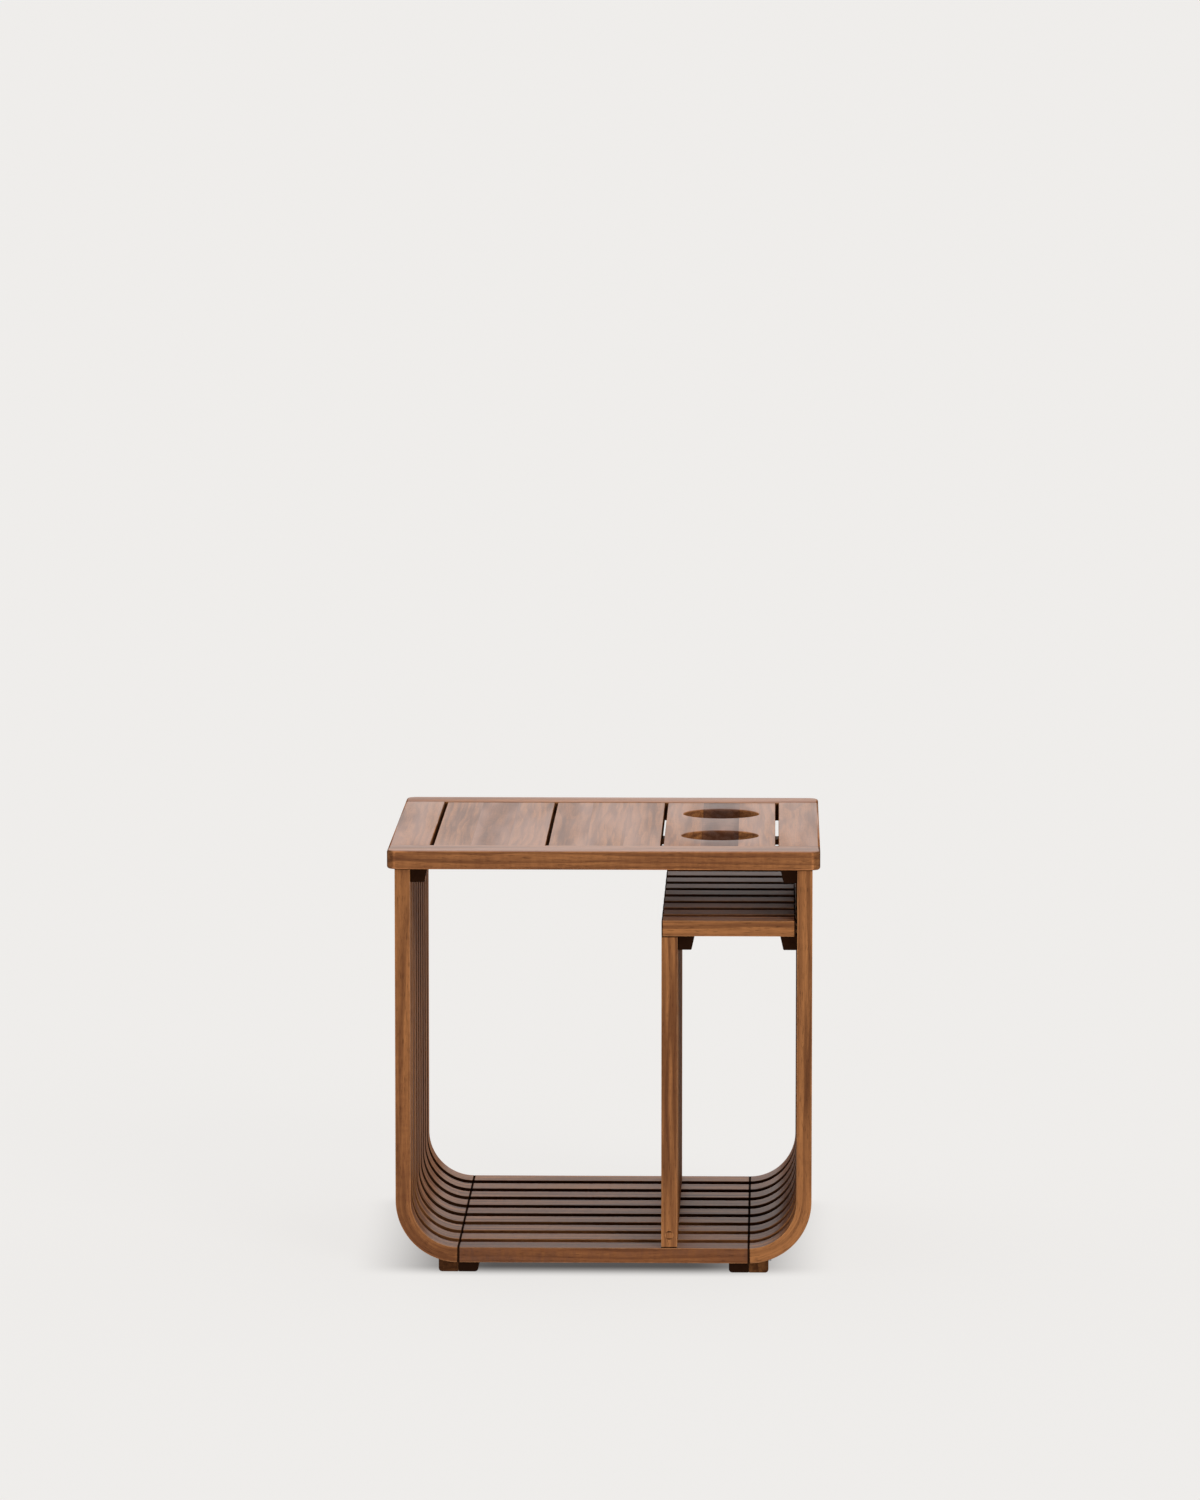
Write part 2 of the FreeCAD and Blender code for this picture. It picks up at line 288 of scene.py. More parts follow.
@dataclass
class ShaderLibrary:
    """The effects of the wood's finish, as shader groups that are built once."""

    stave_seed: float = 0.371
    glue_line: float = 0.6 * MM
    seed_shift: Triple = (7.31, 3.17, 5.77)
    bends: Band = Band(4.0, 15.0)
    pith_across: Triple = (17.3, -0.07, 0.07)
    pith_through: Triple = (29.7, 0.02, 0.10)
    section: Triple = (0.0, 1.0, 1.0)
    ring_drift: Band = Band(1.5, 40.0, 1.0)
    ring_drift_turns: float = 1.8
    late_wood: Triple = (0.25, 0.9, 1.0)
    streaks: Band = Band(5.0, 115.0, 2.0, 0.55)
    fibres: Band = Band(22.0, 520.0, 3.0, 0.65)
    flecks: Band = Band(170.0, 60.0, 2.0, 0.6)
    drifts: Band = Band(3.0, 26.0)
    pores: Band = Band(90.0, 1500.0, 1.0)
    pore_span: Span = (0.60, 0.70)
    rub: Band = Band(140.0, 140.0, 3.0, 0.6)
    rub_span: Span = (0.15, 1.0)
    cut_reach: Span = (0.9 * MM, 2.0 * MM)
    upward_span: Span = (0.55, 0.95)
    side_sheen: float = 0.30
    low_sheen: float = 0.78
    film_bands: Ramp = (0.30, 0.68, 0.35, 1.0)

    def __post_init__(self) -> None:
        """Build every group."""
        self.staves = self._staves()
        self.figure = self._figure()
        self.arrises = self._arrises()
        self.film = self._film()

    def _staves(self) -> Tree:
        """Group that tells a glued-up panel's staves apart, each with its own tone and figure."""
        group = Group.new("Stave Pick", "ShaderNodeTree",
                          {"Grain": "Vector", "Half Size": "Vector", "Tones": "Vector", "Seed": "Float",
                           "Staves": "Float"},
                          {"Grain": "Vector", "Seed": "Float", "Tone": "Float", "Glue Line": "Float"})
        bench = group.bench
        grain, size, three, seed, staves = group.take("Grain", "Half Size", "Tones", "Seed", "Staves")
        along, across, through = bench.split(grain)
        half, tones = bench.split(size)[1], bench.split(three)
        width = bench.math("DIVIDE", bench.times(half, 2.0), staves)
        count = bench.math("DIVIDE", bench.plus(across, half), width)
        index = bench.math("MAXIMUM", bench.math("FLOOR", count), 0.0)
        inside = bench.minus(bench.math("FRACT", count), 0.5)
        tone = tones[0]
        for i in (1, 2):
            reached = bench.math("GREATER_THAN", index, i - 0.5)
            tone = bench.plus_shares(tone, (reached, bench.minus(tones[i], tones[i - 1])))
        edge = bench.times(bench.minus(0.5, bench.math("ABSOLUTE", inside)), width)
        return group.give(grain=bench.join(along, bench.times(inside, width), through),
                          seed=bench.plus_shares(seed, (index, self.stave_seed)), tone=tone,
                          glue_line=bench.fade(edge, 0.0, self.glue_line))

    def _figure(self) -> Tree:
        """Group that cuts a piece out of a trunk: growth rings, streaks, fibres, pores, flecks and drifts."""
        group = Group.shader("Timber Figure", ("Seed", "Ring Width", "Wander"), ("Grain",),
                             ("Ring", "Streak", "Fibre", "Pore", "Fleck", "Drift"))
        bench = group.bench
        grain, seed, ring_width, wander = group.take("Grain", "Seed", "Ring Width", "Wander")
        place = bench.vector("ADD", grain, bench.stretch(self.seed_shift, seed))

        bend = bench.vector("SUBTRACT", self.bends.read(bench, place, "Color"), (0.5, 0.5, 0.5))
        piths = [bench.ramp(bench.math("FRACT", bench.times(seed, step)), 0.0, 1.0, low, high)
                 for step, low, high in (self.pith_across, self.pith_through)]
        pith = bench.join(0.0, *piths)
        section = bench.vector("SUBTRACT", bench.vector("MULTIPLY", grain, self.section), pith)
        wavy = bench.vector("ADD", section, bench.stretch(bend, wander))
        flat = bench.vector("MULTIPLY", wavy, self.section)
        radius = bench.add("ShaderNodeVectorMath", {0: flat}, operation="LENGTH").outputs["Value"]
        turns = bench.math("DIVIDE", radius, ring_width)
        drift = (self.ring_drift.read(bench, place), self.ring_drift_turns)
        turn = bench.math("FRACT", bench.plus_shares(turns, drift))
        start, full, end = self.late_wood
        return group.give(ring=bench.times(bench.ramp(turn, start, full), bench.fade(turn, full, end)),
                          streak=self.streaks.read(bench, place), fibre=self.fibres.read(bench, place),
                          fleck=self.flecks.read(bench, place), drift=self.drifts.read(bench, place),
                          pore=bench.ramp(self.pores.read(bench, place), *self.pore_span))

    def _arrises(self) -> Tree:
        """Group that finds a piece's rubbed arrises and its cut ends from its own grain coordinates."""
        group = Group.shader("Arris Wear", ("Reach",), ("Grain", "Half Size"), ("Wear", "Cut End"))
        bench = group.bench
        grain, size, reach = group.take("Grain", "Half Size", "Reach")
        along, across, through = bench.split(bench.vector("SUBTRACT", size, bench.vector("ABSOLUTE", grain)))
        nearest = bench.math("MINIMUM", across, through)
        second = bench.math("MINIMUM", bench.math("MAXIMUM", across, through), along)
        gap = bench.math("MAXIMUM", nearest, second)
        ragged = bench.plus_shares(gap, (bench.minus(self.rub.read(bench, grain), 0.5), reach))
        return group.give(wear=bench.fade(bench.math("DIVIDE", ragged, reach), *self.rub_span),
                          cut_end=bench.fade(along, *self.cut_reach))

    def _film(self) -> Tree:
        """Group for the pale film on the top's upward faces, in the timber's own bands, partly weathering and
        partly a painted reflection of the sky; and for the sheen under the sky.
        """
        group = Group.shader("Weather Film", ("Band", "From Height"), (), ("Film", "Sheen"))
        bench = group.bench
        band, from_height = group.take("Band", "From Height")
        facing = bench.split(bench.add("ShaderNodeNewGeometry").outputs["Normal"])[2]
        above = bench.math("GREATER_THAN", bench.split(bench.object_place())[2], from_height)
        upward = bench.ramp(facing, *self.upward_span)
        film = bench.times(bench.times(upward, above), bench.ramp(band, *self.film_bands))
        sheen = bench.times(bench.ramp(upward, 0.0, 1.0, self.side_sheen),
                            bench.ramp(above, 0.0, 1.0, self.low_sheen))
        return group.give(film=film, sheen=sheen)


def new_material(name: str) -> tuple[bpy.types.Material, Bench, Node]:
    """Start a material.

    Args:
        name: the material's name.

    Returns:
        The material, the bench for its tree and its Principled shader.
    """
    material = bpy.data.materials.new(name)
    material.use_nodes = True
    material.node_tree.nodes.clear()
    bench = Bench(material.node_tree)
    shader = bench.add("ShaderNodeBsdfPrincipled")
    bench.add("ShaderNodeOutputMaterial", {"Surface": shader.outputs[0]})
    return material, bench, shader


@dataclass(frozen=True)
class OiledHardwood:
    """Oiled hardwood in satin, with the grain following each piece's own coordinates."""

    name: str = "oiled_hardwood"
    pale: Colour = (0.510, 0.215, 0.076, 1.0)
    brown: Colour = (0.300, 0.114, 0.042, 1.0)
    umber: Colour = (0.125, 0.068, 0.054, 1.0)
    late: Colour = (0.105, 0.036, 0.015, 1.0)
    pore: Colour = (0.035, 0.011, 0.004, 1.0)
    # cut ends: dark end grain, darkened further as painted shade
    cut: Colour = (0.011, 0.0045, 0.0025, 1.0)
    # painted shade: near black, for slat faces that look into the gaps between slats
    soaked: Colour = (0.014, 0.0055, 0.003, 1.0)
    rubbed: Colour = (0.560, 0.285, 0.125, 1.0)
    # pale film colour on the top: partly weathering, partly a painted reflection of the sky
    weathered: Colour = (0.530, 0.332, 0.278, 1.0)
    ring_width: float = 8.5 * MM
    wander: float = 22.0 * MM
    arris_reach: float = 1.0 * MM
    noise_span: Span = (0.3, 0.7)
    drift_tone: float = 0.30
    fleck_tone: float = 0.12
    ring_share: float = 0.50
    dark_streaks: Ramp = (0.48, 0.68, 0.0, 0.70)
    pale_streaks: Ramp = (0.30, 0.46, 0.55, 0.0)
    pale_tones: Ramp = (-0.5, 0.3, 0.1, 1.0)
    dark_fibres: Ramp = (0.35, 0.65, 0.28, 0.0)
    pore_share: float = 0.55
    glue_share: float = 0.45
    wear_share: float = 0.35
    # share of the pale film on the top, partly weathering and partly painted sky reflection
    film_amount: float = 0.58
    film_tones: Span = (-1.0, 0.2)
    dark_film: float = 0.3
    film_height: float = 480.0 * MM
    roughness: Span = (0.44, 0.56)
    rougher: Triple = (-0.06, 0.15, 0.50)
    relief: Triple = (0.6, 0.25, -0.5)
    bump: Span = (0.35, 0.35 * MM)
    gloss: float = 0.0
    coat: float = 0.72
    coat_roughness: float = 0.40

    def material(self, library: ShaderLibrary) -> bpy.types.Material:
        """Build the material.

        Args:
            library: the shared shader groups.

        Returns:
            The finished material.
        """
        material, bench, shader = new_material(self.name)

        def own(label: str, output: str = "Fac") -> Socket:
            """What a piece's mesh says about its points."""
            return bench.add("ShaderNodeAttribute", attribute_name=label).outputs[output]

        def group(tree: Tree, inputs: Inputs, *labels: str) -> list[Socket]:
            """Place a group and take some of its outputs."""
            node = bench.add("ShaderNodeGroup", inputs, node_tree=tree)
            return [node.outputs[label] for label in labels]

        # painted shade on slat faces that look into the gaps
        gap_dark = own("gap_dark")
        body = {"Grain": own("grain", "Vector"), "Half Size": own("half_size", "Vector")}
        board = {**body, "Tones": own("tones", "Vector"), "Seed": own("seed"), "Staves": own("staves")}
        grain, seed, tone, glue = group(library.staves, board, "Grain", "Seed", "Tone", "Glue Line")
        trunk = {"Grain": grain, "Seed": seed, "Ring Width": self.ring_width, "Wander": self.wander}
        marks = ("Ring", "Streak", "Fibre", "Pore", "Fleck", "Drift")
        ring, streak, fibre, pore, fleck, drift = group(library.figure, trunk, *marks)
        wear, cut_end = group(library.arrises, {**body, "Reach": self.arris_reach}, "Wear", "Cut End")
        film, sheen = group(library.film, {"Band": drift, "From Height": self.film_height}, "Film", "Sheen")

        for value, reach in ((drift, self.drift_tone), (fleck, self.fleck_tone)):
            tone = bench.plus(tone, bench.ramp(value, *self.noise_span, -reach, reach))
        light = bench.times(bench.ramp(streak, *self.pale_streaks), bench.ramp(tone, *self.pale_tones))
        bloom = bench.ramp(tone, *self.film_tones, self.dark_film * self.film_amount, self.film_amount)
        colour: Value = self.brown
        for share, over in ((bench.ramp(tone, 0.0, 1.0), self.pale),
                            (bench.fade(tone, -1.0, 0.0), self.umber),
                            (bench.times(ring, self.ring_share), self.late),
                            (bench.ramp(streak, *self.dark_streaks), self.late),
                            (light, self.pale),
                            (bench.ramp(fibre, *self.dark_fibres), self.late),
                            (bench.times(pore, self.pore_share), self.pore),
                            (bench.times(glue, self.glue_share), self.pore),
                            (bench.times(wear, self.wear_share), self.rubbed),
                            # painted shade in the gaps between slats
                            (gap_dark, self.soaked),
                            # cut ends: dark end grain with painted shade
                            (bench.times(cut_end, own("end_dark")), self.cut),
                            # pale film on the top: partly weathering, partly a painted reflection of the sky
                            (bench.times(film, bloom), self.weathered)):
            colour = bench.mix(share, colour, over)

        rough = bench.ramp(fibre, *self.noise_span, *self.roughness)
        coat = bench.times(sheen, self.coat)
        for dull in (cut_end, gap_dark):
            coat = bench.times(coat, bench.minus(1.0, dull))
        height = bench.plus_shares(0.0, *zip((fibre, ring, pore), self.relief))
        bench.wire(shader, {"Base Color": colour, "Coat Weight": coat,
                            "Roughness": bench.plus_shares(rough, *zip((ring, pore, cut_end), self.rougher)),
                            "Specular IOR Level": self.gloss, "Coat Roughness": self.coat_roughness,
                            "Normal": bench.bump(height, *self.bump)})
        return material


@dataclass(frozen=True)
class PlainMetal:
    """Bare or plated metal, with a fine mottle and a duller skin in noise patches."""

    name: str
    bright: Colour
    dull: Colour
    roughness: float
    mottle: float = 900.0
    skin: float = 150.0
    skin_span: Span = (0.35, 0.7)
    mottle_dull: Ramp = (0.4, 0.75, 0.0, 0.4)
    mottle_span: Span = (0.3, 0.7)
    mottle_rough: Span = (-0.08, 0.10)
    bump: Span = (0.2, 0.05 * MM)

    def material(self) -> bpy.types.Material:
        """Build the material."""
        material, bench, shader = new_material(self.name)
        place = bench.object_place()
        grains = bench.noise(bench.stretch(place, self.mottle), 3.0, 0.6)
        skin = bench.noise(bench.stretch(place, self.skin), 2.0)
        colour = bench.mix(bench.ramp(skin, *self.skin_span), self.bright, self.dull)
        rough = bench.ramp(grains, *self.mottle_span, *(self.roughness + more for more in self.mottle_rough))
        bench.wire(shader, {"Base Color": bench.mix(bench.ramp(grains, *self.mottle_dull), colour, self.dull),
                            "Metallic": 1.0, "Roughness": rough, "Normal": bench.bump(grains, *self.bump)})
        return material


ZINC = PlainMetal("zinc_plated_steel", (0.62, 0.63, 0.65, 1.0), (0.40, 0.41, 0.43, 1.0), 0.36)
BRASS = PlainMetal("brass", (0.72, 0.53, 0.25, 1.0), (0.50, 0.34, 0.14, 1.0), 0.32)


def stray(name: str, draw: int = 0) -> float:
    """A number from 0 to 1 that belongs to a name, the same on each run."""
    return zlib.crc32(f"{name}/{draw}".encode()) / 2 ** 32


def even_tones(name: str, middle: float = 0.5, spread: float = 0.4) -> Tones:
    """Tones of a piece cut from one board: the same three times."""
    return (middle + (stray(name, 1) - 0.5) * spread,) * 3


def quarter_turns(steps: int) -> list[float]:
    """Angles from nought to a quarter turn, in equal steps."""
    return [i / steps * QUARTER for i in range(steps + 1)]


def whole_turns(steps: int) -> list[float]:
    """Angles once round, in equal steps."""
    return [i / steps * math.tau for i in range(steps)]


def box_middle(node: str) -> Vector:
    """Middle of a CAD node's box."""
    low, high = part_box(node)
    return (low + high) / 2


def slat_middles() -> list[float]:
    """Middle of every slat, from front to back."""
    return [box_middle(f"base_slat_{i}").y for i in SLATS]


class Grain:
    """Where the points of a piece lie in its timber: along, across and through it, from its middle."""

    def rows(self, points: np.ndarray) -> np.ndarray:
        """Which stick of the piece each point belongs to; most pieces are one stick."""
        return np.zeros(len(points), dtype=int)

    def half_size(self) -> np.ndarray:
        """Half a stick's length, width and thickness."""
        raise NotImplementedError

    def coordinates(self, points: np.ndarray) -> np.ndarray:
        """Grain coordinates of some points."""
        raise NotImplementedError


@dataclass
class StraightGrain(Grain):
    """Grain coordinates of a straight stick or board, or of like ones in a row towards the back."""

    low: Vector
    high: Vector
    along: Axis
    pitch: float = 1.0
    count: int = 1

    def order(self) -> list[int]:
        """The frame's axes as along, across (the wider one) and through."""
        size = self.high - self.low
        others = sorted((a.value for a in Axis if a != self.along), key=lambda a: -size[a])
        return [self.along.value, *others]

    def rows(self, points: np.ndarray) -> np.ndarray:
        """Number of the stick that each point lies nearest to."""
        middle = (self.low.y + self.high.y) / 2
        return np.clip(np.rint((points[:, 1] - middle) / self.pitch), 0, self.count - 1).astype(int)

    def half_size(self) -> np.ndarray:
        """Half the length, width and thickness of one stick."""
        return (np.array(self.high - self.low) / 2)[self.order()]

    def coordinates(self, points: np.ndarray) -> np.ndarray:
        """Grain coordinates of some points, each from the middle of its own stick."""
        shift = np.outer(self.rows(points) * self.pitch, BACK)
        return (points - shift - np.array(self.high + self.low) / 2)[:, self.order()]


@dataclass
class BentGrain(Grain):
    """Grain coordinates of a slat that is straight above and turns through a quarter circle below."""

    low: Vector
    high: Vector
    side: Side
    thickness: float
    end_gap: float = 0.0

    def __post_init__(self) -> None:
        """Work out where the bend lies."""
        self.radius = self.high.x - self.low.x
        self.middle_radius = self.radius - self.thickness / 2
        self.joint = self.side.inner_outer(self.low.x, self.high.x)[0]
        self.middle_y = (self.low.y + self.high.y) / 2
        self.centre_z = self.low.z + self.radius
        self.bend_length = self.middle_radius * QUARTER
        self.leg_length = self.high.z - self.centre_z

    def path(self, steps: int) -> list[Vector]:
        """Middle line of the slat, from the top of the leg to the joint.

        Args:
            steps: number of stretches in the bend.

        Returns:
            The line's points.
        """
        reach = self.side.value * self.middle_radius
        line = [Vector((self.joint + reach, self.middle_y, self.high.z))]
        line += [Vector((self.joint + reach * math.cos(turn), self.middle_y,
                         self.centre_z - self.middle_radius * math.sin(turn))) for turn in quarter_turns(steps)]
        line[-1].x += self.side.value * self.end_gap
        return line

    def half_size(self) -> np.ndarray:
        """Half the slat's unrolled length, its width and its thickness."""
        return np.array([self.leg_length + self.bend_length, self.high.y - self.low.y, self.thickness]) / 2

    def coordinates(self, points: np.ndarray) -> np.ndarray:
        """Grain coordinates of some points, with the bend unrolled."""
        out = (points[:, 0] - self.joint) * self.side.value
        up = points[:, 2] - self.centre_z
        straight = up > 0
        turn = np.arctan2(-up, np.maximum(out, TOUCH * MM))
        along = np.where(straight, up, -self.middle_radius * turn)
        through = np.where(straight, out, np.hypot(out, up)) - self.middle_radius
        across = points[:, 1] - self.middle_y
        return np.stack([along - (self.leg_length - self.bend_length) / 2, across, through], axis=1)


def link(name: str, mesh: Mesh) -> Piece:
    """Put a mesh into the scene as an object at the origin."""
    piece = bpy.data.objects.new(name, mesh)
    bpy.context.scene.collection.objects.link(piece)
    return piece


def settle(piece: Piece) -> None:
    """Turn what a piece's modifiers make into its own plain mesh, and take the modifiers off."""
    graph = bpy.context.evaluated_depsgraph_get()
    mesh = bpy.data.meshes.new_from_object(piece.evaluated_get(graph), preserve_all_data_layers=True,
                                           depsgraph=graph)
    piece.modifiers.clear()
    piece.data = mesh


def to_mesh(shape: bmesh.types.BMesh) -> Mesh:
    """Turn a shape under construction into a mesh."""
    mesh = bpy.data.meshes.new("solid")
    shape.to_mesh(mesh)
    shape.free()
    return mesh


def ring(turns: Sequence[float], radii: Numbers, heights: Numbers) -> list[Triple]:
    """Points round the Z axis; one radius or height may stand for all."""
    return [(r * math.cos(a), r * math.sin(a), z) for a, r, z in np.broadcast(turns, radii, heights)]


def lofted_mesh(rings: Sequence[Sequence[Sequence[float]]]) -> Mesh:
    """Join rings of equally many points into a closed solid.

    Args:
        rings: the points of each ring, from one end to the other.

    Returns:
        The closed mesh.
    """
    shape = bmesh.new()
    loops = [[shape.verts.new(point) for point in points] for points in rings]
    for first, second in zip(loops, loops[1:]):
        for i in range(len(first)):
            shape.faces.new((first[i - 1], first[i], second[i], second[i - 1]))
    shape.faces.new(loops[0])
    shape.faces.new(loops[-1])
    bmesh.ops.recalc_face_normals(shape, faces=shape.faces)
    return to_mesh(shape)


def turned_mesh(profile: Sequence[Span], around: int) -> Mesh:
    """Turn a profile, radius and height of each ring from one end to the other, round the Z axis."""
    return lofted_mesh([ring(whole_turns(around), radius, height) for radius, height in profile])


def prism(outline: Sequence[Sequence[float]], along: Axis, low: float, high: float) -> Mesh:
    """Stretch a flat outline into a solid.

    Args:
        outline: corners in the plane of the two other axes, in frame order.
        along: the way to stretch.
        low: where the solid begins.
        high: where it ends.

    Returns:
        The closed mesh.
    """
    mesh = lofted_mesh([[(*point[:along.value], reach, *point[along.value:]) for point in outline]
                        for reach in (low, high)])
    mesh.shade_smooth()
    return mesh


def block(low: Vector, high: Vector) -> Mesh:
    """Plain block between two corners."""
    return prism([(low.x, low.y), (high.x, low.y), (high.x, high.y), (low.x, high.y)], Axis.Z, low.z, high.z)


def ease(piece: Piece, width: float, segments: int, weight: Optional[Weight] = None) -> None:
    """Round the arrises of a piece.

    Args:
        piece: the piece to round.
        width: the rounding's reach, in metres.
        segments: steps across the rounding.
        weight: share of the width for an edge between two points; none rounds every sharp edge in full.
    """
    bevel = piece.modifiers.new("Eased arrises", "BEVEL")
    bevel.width = width
    bevel.segments = segments
    bevel.use_clamp_overlap = False
    bevel.limit_method = "WEIGHT" if weight else "ANGLE"
    bevel.angle_limit = SHARP
    if weight:
        points = [v.co for v in piece.data.vertices]
        shares = piece.data.attributes.new("bevel_weight_edge", "FLOAT", "EDGE")
        shares.data.foreach_set("value", [weight(*(points[v] for v in e.vertices)) for e in piece.data.edges])
    piece.modifiers.new("Flat faces", "WEIGHTED_NORMAL").keep_sharp = True


def cut(piece: Piece, cutters: Sequence[Piece]) -> None:
    """Cut shapes out of a piece, settle it and throw the cutters away."""
    for cutter in cutters:
        modifier = piece.modifiers.new("Cut", "BOOLEAN")
        modifier.object = cutter
        modifier.solver = "EXACT"
    settle(piece)
    for cutter in cutters:
        bpy.data.objects.remove(cutter)


@dataclass(frozen=True)
class Place:
    """Where a fastener sits on a surface, and the way its head faces."""

    point: Vector
    facing: Vector

    def sunk(self, depth: float) -> "Place":
        """The same place, some way down into the surface."""
        return Place(self.point - self.facing * depth, self.facing)

    def stance(self) -> Matrix:
        """Moves a shape from the origin to this place, with its +Z the way the head faces."""
        return Matrix.Translation(self.point) @ self.facing.to_track_quat("Z", "Y").to_matrix().to_4x4()


def turned_at(name: str, places: Sequence[Place], profile: Sequence[Span], around: int) -> Piece:
    """Turn a profile and set a copy on every place, as one object.

    Args:
        name: the object's name.
        places: where the copies go.
        profile: radius and height of each ring.
        around: steps round the axis.

    Returns:
        The new object.
    """
    shape = bmesh.new()
    for place in places:
        model = turned_mesh(profile, around)
        model.transform(place.stance())
        shape.from_mesh(model)
    return link(name, to_mesh(shape))


@dataclass(frozen=True)
class Screws:
    """Where the wood screws go in, and the open or plugged holes that take their heads below the surface."""

    slope: float = 4.0 * MM
    shift: float = 7.0 * MM
    foot_shift: float = 9.0 * MM
    cross_inset: float = 32.0 * MM
    bore_radius: float = 4.2 * MM
    bore_depth: float = 2.6 * MM
    bore_steps: int = 24
    sloped: tuple[tuple[str, int], ...] = (("left_leg_top_batten", 1), ("right_leg_top_batten", -1),
                                           ("shelf_left_batten", 1), ("shelf_right_batten", -1))
    shelf: tuple[str, ...] = ("shelf_left_batten", "shelf_right_batten")
    crossing: tuple[str, ...] = ("top_front_cross_batten", "top_back_cross_batten")
    panels: tuple[str, ...] = ("top_left_panel", "top_middle_panel", "top_cup_panel")
    feet: tuple[str, ...] = ("left_leg_foot_batten", "left_base_foot_batten", "right_leg_foot_batten",
                             "right_base_foot_batten")

    @staticmethod
    def rows(shift: float) -> list[float]:
        """Where the screws of a row lie: off the middle of each slat, towards the middle of the table."""
        return [y - math.copysign(shift, y) for y in slat_middles()]

    def places(self, node: str) -> list[Place]:
        """Where the screws enter the underside of one batten or foot.

        Args:
            node: the CAD node of the batten or foot.

        Returns:
            A place on the surface for each screw.
        """
        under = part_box(node)[0].z
        middle = box_middle(node)
        spots: list[Span] = []
        if node in self.feet:
            spots = [(middle.x, y) for y in self.rows(self.foot_shift)]
        elif node in self.crossing:
            spans = [[corner.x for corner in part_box(panel)] for panel in self.panels]
            spots = [(x, middle.y) for left, right in spans
                     for x in (left + self.cross_inset, right - self.cross_inset)]
        elif node in self.shelf:
            x = middle.x - dict(self.sloped)[node] * self.slope / 2
            spots = [(x, y) for y in self.rows(self.shift)]
        return [Place(Vector((x, y, under)), DOWN) for x, y in spots]

    def every(self) -> list[Place]:
        """Every screw with an open hole, its head at the hole's bottom."""
        nodes = (*self.shelf, *self.crossing, *self.feet)
        return [place.sunk(self.bore_depth) for node in nodes for place in self.places(node)]

    def plugged(self) -> list[Place]:
        """Every hole in the battens' sloping sides that is closed with a plug."""
        places = []
        for node, way in self.sloped:
            low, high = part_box(node)
            free = (high.x if way > 0 else low.x) - way * self.slope / 2
            facing = Vector((way * (high.z - low.z), 0, -self.slope)).normalized()
            places += [Place(Vector((free, y, (low.z + high.z) / 2)), facing) for y in self.rows(-self.shift)]
        return places

    def bore(self, piece: Piece, node: str) -> None:
        """Cut a round hole into a piece for the head of each of its screws."""
        places = self.places(node)
        if places:
            ends = [(self.bore_radius, -self.bore_depth), (self.bore_radius, self.bore_depth)]
            cut(piece, [turned_at("bore_cutter", places, ends, self.bore_steps)])


